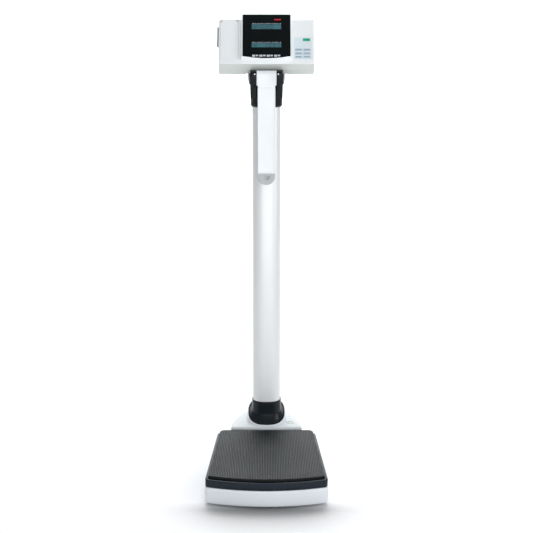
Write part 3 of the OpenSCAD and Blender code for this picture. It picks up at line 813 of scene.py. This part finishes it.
# ---------------------------------------------------------------- head bracket
BRACKET_LO, BRACKET_HI = span("head_bracket")
PIN_LO, PIN_HI = span("paddle_pin")
HINGE_Y = (PIN_LO[1] + PIN_HI[1]) / 2
HINGE_Z = (PIN_LO[2] + PIN_HI[2]) / 2
ARM_HI = span("paddle_arm")[1]
LUG_IN = ARM_HI[0] + 0.4
LUG_OUT = PIN_HI[0]


def make_bracket():
    low, top = BRACKET_LO[2], BRACKET_HI[2]
    a, b = COLUMN_A + 0.5, COLUMN_B + 0.5
    foot_a, foot_b, top_a, top_b = 48.0, 40.5, 52.6, 44.5
    sections = [(low, a, b), (low, foot_a - 3.6, foot_b - 3.4), (low + 0.6, foot_a - 2.6, foot_b - 2.6),
                (low + 4.6, foot_a + 0.2, foot_b)]
    for i in range(1, 9):
        f = i / 8
        sections.append((low + 5 + (top - low - 6.5) * f, foot_a + (top_a - foot_a) * f * (f + 1) * 0.5,
                         foot_b + (top_b - foot_b) * f))
    bore_a, bore_b = 24.3, 16.3
    sections += [(top - 0.4, top_a - 0.5, top_b - 0.5), (top, top_a - 1.4, top_b - 1.4),
                 (top, bore_a, bore_b), (top - 24, bore_a, bore_b), (top - 24, a, b)]
    sleeve("bracket_sleeve", sections, "head", "bracket_black", "head_bracket")


def make_lugs():
    """Lugs on both sides of the paddle's knuckle: round in front, straight behind and drawn in below."""
    back, foot = HINGE_Y + 24, HINGE_Z - 70
    outline = arc(HINGE_Y + 0.2, HINGE_Z, 11.8, 180, 90, 8)
    outline += [(back, HINGE_Z + 11.8), (back, foot), (HINGE_Y + 16.5, foot), (HINGE_Y + 13.6, HINGE_Z - 52),
                (HINGE_Y + 3.0, HINGE_Z - 34), (HINGE_Y - 9.5, HINGE_Z - 15)]
    edge = [(LUG_IN, 0.8), (LUG_IN + 0.3, 0.2), (LUG_IN + 0.8, 0), (LUG_OUT - 5, 0), (LUG_OUT - 1.5, 1.2),
            (LUG_OUT - 0.4, 2.4), (LUG_OUT, 3.4)]
    for hand, side in (("left", -1), ("right", 1)):
        rings = []
        for x, d in edge:
            rings.append([(side * x, y + (0 if y > HINGE_Y + 13 else d), z - (d if z > HINGE_Z else 0))
                          for y, z in outline])
        settle(loft("bracket_lug_" + hand, rings), "head", "bracket_black", None, "head_bracket")


def make_cheeks():
    """Side cheeks of the bracket: wide at the top and tucked in below, shorter at the front and back."""
    lo, hi = span("bracket_cheeks")
    outer, inner = hi[0] - 1.2, hi[0] - 5.0
    steps = 14
    for hand, side in (("left", -1), ("right", 1)):
        rings = []
        for i in range(steps + 1):
            f = i / steps
            y = COLUMN_Y - 24 + 48 * f
            low = lo[2] + 4 * (2 * f - 1) ** 4
            rings.append([(side * (inner - 3.5), y, low), (side * (inner - 1.2), y, low),
                          (side * (outer - 2.2), y, low + 14), (side * (outer - 0.4), y, low + 30),
                          (side * outer, y, hi[2]), (side * (inner - 2), y, hi[2])])
        piece = loft("cheek_" + hand, rings)
        # Lightened grey: partly the cheeks' colour, partly a painted highlight.
        settle(soften(piece, 0.8, 3), "head", "cheek_grey_and_painted_highlight", "grey_plastic", "bracket_cheeks")


# ---------------------------------------------------------------- console
CONSOLE_LO, CONSOLE_HI = span("console_front")
BACK_HI = span("console_back")[1]
LEAN = math.radians(30)
CON_A = CONSOLE_HI[0]
FACE_Y = CONSOLE_LO[1]
FACE_Z = 1227.0
FACE_L = (BACK_HI[2] - FACE_Z) / math.cos(LEAN)
CON_DEPTH = BACK_HI[1] - FACE_Y
CHIN_Y = 34.0
CHIN_H = 32.0
SHELL = 2.5
SPLIT_N = -21.0
ON_FACE = Matrix.Translation((0, FACE_Y * MM, FACE_Z * MM)) @ Matrix.Rotation(math.pi / 2 - LEAN, 4, "X")


def side_profile():
    """Console seen from the side: depth behind the lowest front edge, and height above it."""
    top = FACE_L * math.cos(LEAN)
    return [(0, 0), (FACE_L * math.sin(LEAN), top), (CON_DEPTH - 12, top), (CON_DEPTH, top - 14),
            (CON_DEPTH, 8), (CON_DEPTH - 22, -CHIN_H), (CHIN_Y, -CHIN_H)]


def drawn_in(points, distance, radii):
    """A convex outline drawn in by a distance, each corner rounded by its radius."""
    n = len(points)
    lines = []
    for i in range(n):
        (x0, y0), (x1, y1) = points[i], points[(i + 1) % n]
        length = math.hypot(x1 - x0, y1 - y0)
        dx, dy = (x1 - x0) / length, (y1 - y0) / length
        lines.append((x0 + dy * distance, y0 - dx * distance, dx, dy))
    corners = []
    for i in range(n):
        ax, ay, adx, ady = lines[i - 1]
        bx, by, bdx, bdy = lines[i]
        cross = adx * bdy - ady * bdx
        t = ((bx - ax) * bdy - (by - ay) * bdx) / cross
        corners.append((ax + adx * t, ay + ady * t, adx, ady, bdx, bdy))
    out = []
    for (cx, cy, adx, ady, bdx, bdy), radius in zip(corners, radii):
        r = max(radius - distance, 0.4)
        turn = math.acos(max(-1, min(1, adx * bdx + ady * bdy)))
        reach = r * math.tan(turn / 2)
        sx, sy = cx - adx * reach, cy - ady * reach
        ox, oy = sx + ady * r, sy - adx * r
        start = math.atan2(sy - oy, sx - ox)
        for k in range(7):
            a = start - turn * k / 6
            out.append((ox + r * math.cos(a), oy + r * math.sin(a)))
    return out


def console_solid(name, distance):
    """The console's form drawn in by a distance: 0 for its outside, the wall for its hollow."""
    radii = (1.3, 5, 6, 6, 9, 8, 4)
    edge = 5.0
    turns = [math.radians(a) for a in (90, 72, 54, 36, 18, 0)]
    profile = side_profile()
    rings = []
    for side in (-1, 1):
        row = []
        for a in turns:
            x = side * (CON_A - distance - edge * (1 - math.sin(a)))
            inset = distance + edge * (1 - math.cos(a))
            row.append([(x, FACE_Y + y, FACE_Z + z) for y, z in drawn_in(profile, inset, radii)])
        rings += row if side < 0 else row[::-1]
    return loft(name, rings)


def half_space(front):
    """A big block in front of the console's parting plane, or behind it."""
    z = (SPLIT_N, 200) if front else (-400, SPLIT_N - 0.35)
    return box_solid("half_space", (-300, 300), (-300, 400), z, ON_FACE)


FLAP_LO_X, FLAP_HI_X = -137.0, -83.0
FLAP_LO_S, FLAP_HI_S = 13.0, FACE_L - 3
FLAP_GAP = 0.45
KEY_GAP = 0.4
KEYS = {"key_start": "green_key", **{"key_" + number: "grey_key" for number in "123456"}}
TO_FACE = ON_FACE.inverted()


def on_face_span(node):
    """Lowest and highest corner of a CAD node in the console face's own frame, in millimetres."""
    points = [TO_FACE @ v.co for v in frame["nodes"][node].data.vertices]
    lo = [min(p[i] for p in points) / MM for i in range(3)]
    hi = [max(p[i] for p in points) / MM for i in range(3)]
    return lo, hi


def key_gap(name, depth):
    """Cutter of the opening that a key stands in."""
    lo, hi = on_face_span(name)
    plan = rectangle(lo[0] - KEY_GAP, hi[0] + KEY_GAP, lo[1] - KEY_GAP, hi[1] + KEY_GAP, 1.6)
    return stack(name + "_gap", plan, [(-depth, 0), (depth, 0)], False, ON_FACE)


def bracket_room():
    """Cutters of the room that the console's shells leave for the bracket, the mast and the carrier."""
    low, top = 1100, BRACKET_HI[2] + 0.8
    return [stack("round_room", oval(54, 46), [(low, 0), (top, 0)], False, AT_COLUMN),
            box_solid("lug_room", (-LUG_OUT - 1, LUG_OUT + 1), (HINGE_Y - 14, HINGE_Y + 36), (low, top)),
            box_solid("cheek_room", (-61, 61), (COLUMN_Y - 26, COLUMN_Y + 26), (low, top + 1))]


def twin(thing, name):
    """A second object with its own copy of the mesh."""
    return add_object(name, thing.data.copy())


def make_console():
    outer = console_solid("console_front_shell", 0)
    carve(outer, console_solid("hollow", SHELL))
    rear = twin(outer, "console_rear_shell")
    flap_plan = rectangle(FLAP_LO_X, FLAP_HI_X, FLAP_LO_S, FLAP_HI_S + 60, 2.5)
    flap_bay = stack("flap_bay", flap_plan, [(-12, 0), (12, 0)], False, ON_FACE)
    cuts = [half_space(False), *bracket_room(), flap_bay]
    bar_lo, bar_hi = on_face_span("tear_bar")
    cuts.append(box_solid("bar_bay", (-CON_A - 6, -CON_A + 8), (bar_lo[1] - 0.1, bar_hi[1] + 0.1),
                          (bar_lo[2] - 0.1, bar_hi[2] + 0.1), ON_FACE))
    cuts += [key_gap(name, 10) for name in KEYS]
    carve(outer, *cuts)
    chin = twin(outer, "console_chin")
    chin_top = FACE_Z - 0.15
    carve(outer, box_solid("under_face", (-300, 300), (-100, 400), (FACE_Z - 200, chin_top)))
    carve(chin, box_solid("over_face", (-300, 300), (-100, 400), (chin_top, FACE_Z + 200)))
    settle(outer, "head", "white_console", None, "console_front")
    # The chin's grey is partly the plastic's colour and partly painted shade where the chin faces down.
    settle(chin, "head", "chin_grey_and_painted_shade", "white_console", "console_front")
    jack_lo, jack_hi = span("power_inlet")
    hole = box_solid("jack_hole", (jack_lo[0] - 0.3, jack_hi[0] + 0.3), (jack_lo[1], jack_hi[1] + 4),
                     (jack_lo[2] - 0.3, jack_hi[2] + 0.3))
    carve(rear, half_space(True), hole, *bracket_room())
    # The rear shell shares the chin's grey, which is partly painted shade.
    settle(soften(rear, 0.45), "head", "chin_grey_and_painted_shade", "white_console", "console_back")


def make_flap():
    x0, x1 = FLAP_LO_X + FLAP_GAP, FLAP_HI_X - FLAP_GAP
    s0, s1 = FLAP_LO_S + FLAP_GAP, FLAP_HI_S - 5.4
    panel = stack("flap_panel", rectangle(x0, x1, s0, s1, 2.2), rounded(-2.5, 0.25, 0.5), False, ON_FACE)
    grip_plan = rectangle(-119, -101, s0 + 5, s0 + 10.5, 2.6)
    carve(panel, stack("grip", grip_plan, [(-0.35, 0.5), (0.1, 0), (3, 0)], False, ON_FACE))
    settle(panel, "printer_flap", "white_console", None, "printer_cover")
    knuckle = clean_copy("printer_cover", "flap_knuckle")
    keep = box_solid("keep", (-200, 200), (s1 - 6, 300), (-20, 20), ON_FACE)
    carve(knuckle, keep, operation="INTERSECT")
    settle(soften(knuckle, 0.3), "printer_flap", "white_console", None, "printer_cover")


POD_HALF = 76.0
POD_LOW, POD_TOP = 5.0, 159.0
POD_BOW = 7.0


def pod_plan(d):
    """Outline of the display pod on the console face: straight top and sides, bowed lower edge."""
    x = POD_HALF - d
    r = max(4.0 - d * 0.6, 0.8)
    top = POD_TOP - d
    low = POD_LOW + d
    upper = arc(x - r, top - r, r, 0, 90, 5) + arc(-x + r, top - r, r, 90, 180, 5)
    steps = [-1 + 2 * i / 32 for i in range(33)]
    lower = [(u * (x - 0.02 * r), low + POD_BOW * u * u) for u in steps]
    return upper + [(-x, low + POD_BOW + 3)] + lower + [(x, low + POD_BOW + 3)]


POD_HI = on_face_span("display_pod")[1]
LENS_HI = on_face_span("display_lens")[1]


def make_pod():
    h = POD_HI[2]
    profile = [(0.2, 3), (0.2, 0), (1.2, 0.1), (8, 1.3), (h - 4.2, 2.2), (h - 1.8, 2.7), (h - 0.7, 3.2),
               (h - 0.15, 3.9), (h, 4.5), (h - 0.2, 5.2), (h - 0.9, 5.6), (h - 2.0, 5.7), (h - 2.1, 9)]
    frame_piece = stack("pod_frame", pod_plan, profile, False, ON_FACE)
    settle(frame_piece, "head", "white_console", None, "display_pod")
    t = LENS_HI[2]
    rim = [(t - 1.8, 6.0), (t - 0.5, 6.0), (t - 0.15, 6.1), (t, 6.5)]
    settle(stack("lens", pod_plan, rim, False, ON_FACE), "head", "lens_black", None, "display_lens")


# each segment of a digit: where its middle is, across and up, and whether it stands upright
SEGMENTS = {
    "a": (0.5, 1.0, False),
    "b": (1.0, 0.75, True),
    "c": (1.0, 0.25, True),
    "d": (0.5, 0.0, False),
    "e": (0.0, 0.25, True),
    "f": (0.0, 0.75, True),
    "g": (0.5, 0.5, False),
}
SHAPES = {"0": "abcdef", "1": "bc", "2": "abged"}


def segment_bar(cx, cy, length, thick, upright):
    """Six-cornered bar of a seven-segment digit."""
    half, t = length / 2 - 0.25, thick / 2
    bar = [(-half, 0), (-half + t, t), (half - t, t), (half, 0), (half - t, -t), (-half + t, -t)]
    return [(cx + y, cy + x) if upright else (cx + x, cy + y) for x, y in bar]


def flat_plates(name, outlines, n0, n1, finish, slot, body="head"):
    """Thin plates on the console face, one for each outline."""
    points, faces = [], []
    for outline in outlines:
        base, count = len(points), len(outline)
        points += [(x, s, n0) for x, s in outline] + [(x, s, n1) for x, s in outline]
        faces.append(tuple(base + i for i in range(count)))
        faces.append(tuple(base + count + i for i in range(count)))
        faces += [(base + i, base + (i + 1) % count, base + count + (i + 1) % count, base + count + i)
                  for i in range(count)]
    return settle(mesh_from(name, points, faces, ON_FACE), body, finish, slot)


def digit_row(text, right, low, height, pitch):
    """Outlines of a right-aligned row of seven-segment digits."""
    width, thick = height * 0.60, height * 0.18
    outlines = []
    for index, sign in enumerate(reversed(text)):
        left = right - pitch * index - width
        for part in SHAPES[sign]:
            u, v, upright = SEGMENTS[part]
            length = height / 2 if upright else width
            outlines.append(segment_bar(left + u * width, low + v * height, length, thick, upright))
    return outlines


def box_outline(x0, x1, s0, s1):
    return [(x0, s0), (x1, s0), (x1, s1), (x0, s1)]


def make_displays():
    face = LENS_HI[2]
    for name, s0, s1, right in (("upper", 105, 121.5, 18.5), ("lower", 45.5, 59.5, 39.5)):
        plan = rectangle(-43.5, 43.0, s0, s1, 0.7)
        window = stack("lcd_window_" + name, plan, [(face - 0.2, 0), (face + 0.06, 0)], False, ON_FACE)
        settle(window, "head", "lcd", None, "lcd_" + name)
        digits = digit_row("1020", right, s0 + 1.8, s1 - s0 - 4.0, 13.2)
        flat_plates("lcd_digits_" + name, digits, face + 0.05, face + 0.12, "lcd_ink", "lcd")
        ticks = [box_outline(-41 + 4 * i, -39.4 + 4 * i, s0 + 1.6, s1 - 3.4) for i in range(4)]
        flat_plates("lcd_bars_" + name, ticks, face + 0.05, face + 0.10, "lcd_ink", "lcd")
        marks = []
        for i in range(12):
            left, width = -42 + 7.3 * i, (5.2, 3.4, 4.4)[i % 3]
            marks.append(box_outline(left, left + width, s1 + 1.6, s1 + 2.9))
        flat_plates("legend_" + name, marks, face - 0.05, face + 0.05, "print_white", "lens_black")
    pads = []
    for i in range(8):
        left, width = -42.0 + 10.7 * i, (8.8, 7.2)[i % 2]
        pads.append(box_outline(left, left + width, 15.0 + 1.2 * (i % 2), 21.0))
    flat_plates("legend_strip", pads, face - 0.05, face + 0.05, "print_white", "lens_black")
    accent = box_outline(23, 42.5, 134.5, 138.5)
    flat_plates("accent_bar", [accent], face - 0.05, face + 0.05, "print_red", "lens_black")


def make_key(name, finish):
    """Key cap with a dished top, and a row of printed dashes on all but the start key."""
    lo, hi = on_face_span(name)
    top = hi[2]
    dished = [(lo[2] + 0.8, 0.1), (top - 0.9, 0), (top - 0.35, 0.25), (top - 0.05, 0.8), (top - 0.12, 1.8)]
    cap = stack(name + "_cap", rectangle(lo[0], hi[0], lo[1], hi[1], 1.5), dished, False, ON_FACE)
    body = "start_key" if name == "key_start" else name.replace("key_", "keypad_")
    settle(cap, body, finish, None, name)
    if body == "start_key":
        return
    middle = (lo[1] + hi[1]) / 2
    starts = [lo[0] + 3.0 + 3.0 * i for i in range(5)]
    dashes = [box_outline(x, x + 2.2, middle - 0.9, middle + 0.9) for x in starts]
    flat_plates(name + "_mark", dashes, top - 0.16, top - 0.04, "print_blue", "grey_key", body)


def make_keypad():
    for name, finish in KEYS.items():
        make_key(name, finish)
    plan = rectangle(80.5, 135.5, 14.5, 87, 2.0)
    sheet = stack("keypad_panel", plan, [(-0.5, 0), (0.08, 0)], False, ON_FACE)
    carve(sheet, *[key_gap(name, 4) for name in KEYS])
    settle(sheet, "head", "keypad_film", "grey_rubber")


# ---------------------------------------------------------------- paddle
TIP_LO, TIP_HI = span("paddle_tip")
FACING = Matrix.Rotation(math.pi / 2, 4, "X")


def make_paddle():
    half = TIP_HI[0]
    back, front = -TIP_HI[1], -TIP_LO[1]
    top = HINGE_Z - 44
    dished = [(back, 3), (back, 1.4), (back + 0.4, 0.5), (back + 1.4, 0), (front - 1.4, 0),
              (front - 0.4, 0.4), (front, 1.2), (front, 2.0), (front - 0.4, 2.5), (front - 1.5, 2.9),
              (front - 1.6, 4)]
    blade = rectangle(-half, half, TIP_HI[2] + 0.05, top + 6, 0.6, 6)
    settle(stack("paddle_blade", blade, dished, False, FACING), "paddle", "paddle_white", None, "paddle_arm")
    plain = [(back + 1, 1), (back + 1.6, 0), (front - 2.4, 0), (front - 1.8, 0.6)]
    neck = rectangle(-half + 0.5, half - 0.5, top - 2, HINGE_Z - 28, 0.6, 6)
    settle(stack("paddle_neck", neck, plain, False, FACING), "paddle", "paddle_white", None, "paddle_arm")


def make_knuckle():
    """Knuckle of the paddle: round over the hinge and drawn down to the neck."""
    r = ARM_HI[2] - HINGE_Z
    outline = arc(HINGE_Y, HINGE_Z, r, 20, 180, 18)
    outline += [(HINGE_Y - r + 0.3, HINGE_Z - 14), (HINGE_Y - r + 1.4, HINGE_Z - 26),
                (HINGE_Y - 9.4, HINGE_Z - 31), (HINGE_Y - 7.8, HINGE_Z - 31.6),
                (HINGE_Y + 5, HINGE_Z - 31.6), (HINGE_Y + 6.4, HINGE_Z - 18)]
    w = ARM_HI[0]
    edge = [(w, 2.2), (w - 0.3, 1.2), (w - 1.4, 0.2), (w - 2.4, 0), (w - 3.2, 0.5)]
    rings = []
    for x, d in [(-x, d) for x, d in edge] + edge[::-1]:
        rings.append([(x, y + (d if y < HINGE_Y else -d), z) for y, z in outline])
    settle(loft("paddle_knuckle", rings), "paddle", "paddle_white", None, "paddle_arm")


def make_tip():
    """Round grey tip of the paddle, with a finger dimple in its face."""
    half = TIP_HI[0]
    back, front = -TIP_HI[1], -TIP_LO[1]
    centre = TIP_LO[2] + half

    def tip_plan(d):
        r = half - d
        return arc(0, centre, r, 180, 360, 40) + [(r, TIP_HI[2]), (-r, TIP_HI[2])]

    edge = [(back, 3), (back, 1.4), (back + 0.4, 0.5), (back + 1.4, 0), (front - 1.4, 0), (front - 0.4, 0.4),
            (front - 0.1, 1.4), (front - 0.1, 3)]
    tip = stack("paddle_tip_cap", tip_plan, edge, False, FACING)
    dimple = bpy.data.meshes.new("dimple")
    bm = bmesh.new()
    bmesh.ops.create_uvsphere(bm, u_segments=32, v_segments=16, radius=13 * MM,
                              matrix=Matrix.Translation((0, (TIP_LO[1] - 7.5) * MM, (centre - 1) * MM)))
    bm.to_mesh(dimple)
    bm.free()
    ball = add_object("dimple", dimple)
    carve(ball, box_solid("roof", (-20, 20), (TIP_LO[1] - 30, TIP_LO[1] + 20), (centre + 2, centre + 40)))
    carve(tip, ball)
    settle(soften(tip, 0.3), "paddle", "grey_plastic", None, "paddle_tip")


# ---------------------------------------------------------------- small parts
def make_level():
    lo, hi = span("level_body")
    x, y = (lo[0] + hi[0]) / 2, (lo[1] + hi[1]) / 2
    here = Matrix.Translation((x * MM, y * MM, 0))

    def disc(r):
        turns = [2 * math.pi * i / 48 for i in range(48)]
        return lambda d: [((r - d) * math.cos(t), (r - d) * math.sin(t)) for t in turns]

    t, r = hi[2], hi[0] - x
    bezel = [(t - 7, 2.2), (t - 1.7, 2.2), (t - 1.6, 0), (t - 0.9, 0), (t - 0.3, 0.4), (t, 1.2), (t, 2.6),
             (t - 0.4, 3.6), (t - 1.2, 4.1), (t - 6.5, 4.1)]
    settle(stack("level_bezel", disc(r), bezel, True, here), "base", "pale_plastic", None, "level_body")
    vial = span("level_vial")[1][2]
    dome = [(vial - 5.5, 0.1), (vial - 1.4, 0), (vial - 0.8, 0.8), (vial - 0.4, 2.4), (vial - 0.2, 4.6),
            (vial - 0.1, 7)]
    settle(stack("level_dome", disc(r - 4.2), dome, False, here), "base", "level_glass", None, "level_vial")
    mark = [(vial - 0.2, 0), (vial + 0.02, 0), (vial + 0.02, 0.5), (vial - 0.2, 0.5)]
    settle(stack("level_mark", disc(4.4), mark, True, here), "base", "lcd_ink", "black_trim")
    bubble = [(vial - 0.3, 0), (vial - 0.05, 0.5), (vial + 0.01, 1.8)]
    settle(stack("level_bubble", disc(3.0), bubble, False, here), "base", "paper", "level_glass")


# pieces that keep the CAD shape with softened edges: finish and width of the rounding
SOFTENED = {
    "tear_bar": ("tear_grey", 0.5),
    "power_inlet": ("black_trim", 0.4),
    "foot_front_left": ("foot_rubber", 0.6),
    "foot_front_right": ("foot_rubber", 0.6),
    "foot_rear_left": ("foot_rubber", 0.6),
    "foot_rear_right": ("foot_rubber", 0.6),
    "castor_left": ("castor_rubber", 1.6),
    "castor_right": ("castor_rubber", 1.6),
    "console_screws": ("pin_steel", 0.3),
    "bracket_pins": ("pin_steel", 0.4),
    "castor_axles": ("pin_steel", 0.4),
    "mast_tube": ("mast_aluminium", 0.3),
    "mast_slider": ("dark_plastic", 0.5),
    "column_guide": ("dark_plastic", 0.5),
    "paper_roll": ("paper", 0.2),
    "printer_body": ("dark_plastic", 0.5),
}


def make_small_parts():
    home = {node: body for body, nodes in frame["record"]["behaviour"]["bodies"].items() for node in nodes}
    slots = {row["node"]: row["material_slot"] for row in frame["record"]["subparts"]}
    for node, (finish, width) in SOFTENED.items():
        piece = soften(clean_copy(node, node + "_piece"), width)
        settle(piece, home[node], finish, slots[node], node)
    for node, thing in frame["nodes"].items():
        if node in STOOD_FOR:
            continue
        thing.data.materials.clear()
        thing.data.materials.append(FINISH[slots[node]])


def make_floor():
    """Seamless paper in metres: flat, curved up by a quarter turn and upright behind the object. A painted
    contact shadow darkens its colour in front of the object, and a painted glow brightens it far from the
    object.
    """
    rows = [(-9, 0), *arc(4.0, 2.0, 2.0, -90, 0, 15), (6.0, 7.0)]
    points = [(x / MM, y / MM, z / MM) for y, z in rows for x in (-14, 14)]
    faces = [(2 * i, 2 * i + 1, 2 * i + 3, 2 * i + 2) for i in range(len(rows) - 1)]
    floor = mesh_from("floor", points, faces)
    s = Shader("floor_paper")
    tone = s.mix(s.noise(s.place(), 3, 3.0), (0.90, 0.91, 0.92, 1), (0.93, 0.94, 0.95, 1))
    # Painted light: the floor glows more with distance from the object, so the far floor reads white while
    # the shade near the object stays dark.
    away = s.node("ShaderNodeVectorMath", {"operation": "LENGTH"}, s.place(), output="Value")
    painted_glow_ramp = s.node("ShaderNodeMapRange", {}, away, 1.3, 2.4, 0.0, 1.0)
    glow = s.mix(painted_glow_ramp, rgb((0, 0, 0)), rgb((0.22, 0.22, 0.22)))
    # Painted contact shadow: ambient occlusion darkens the floor's colour where the object's shadow falls.
    contact_shadow_occlusion = s.node("ShaderNodeAmbientOcclusion", {"samples": 8}, Distance=0.16, output="AO")
    depth = s.node("ShaderNodeSeparateXYZ", {}, s.place(), output="Y")
    # This mask keeps the painted shadow to the floor in front of the casing.
    before = s.node("ShaderNodeMapRange", {}, depth, -0.285, -0.235, 1.0, 0.0)
    shade = s.mix(before * (1.0 - s.maths("POWER", contact_shadow_occlusion, 2.4)), tone, rgb((0.01, 0.012, 0.014)))
    gloss = 0.62 + s.noise(s.place(), 40) * 0.05
    paper = s.finish(shade, gloss, None, Emission_Color=glow, Emission_Strength=1.0, Specular_IOR_Level=0.1)
    floor.data.materials.append(paper)


make_camera()
make_studio()
FINISH.update(make_finishes())
make_floor()
make_casing()
make_tray()
make_mat()
make_rear_cover()
make_column()
make_collar()
make_boot()
make_bracket()
make_lugs()
make_cheeks()
make_console()
make_flap()
make_pod()
make_displays()
make_keypad()
make_paddle()
make_knuckle()
make_tip()
make_level()
make_small_parts()
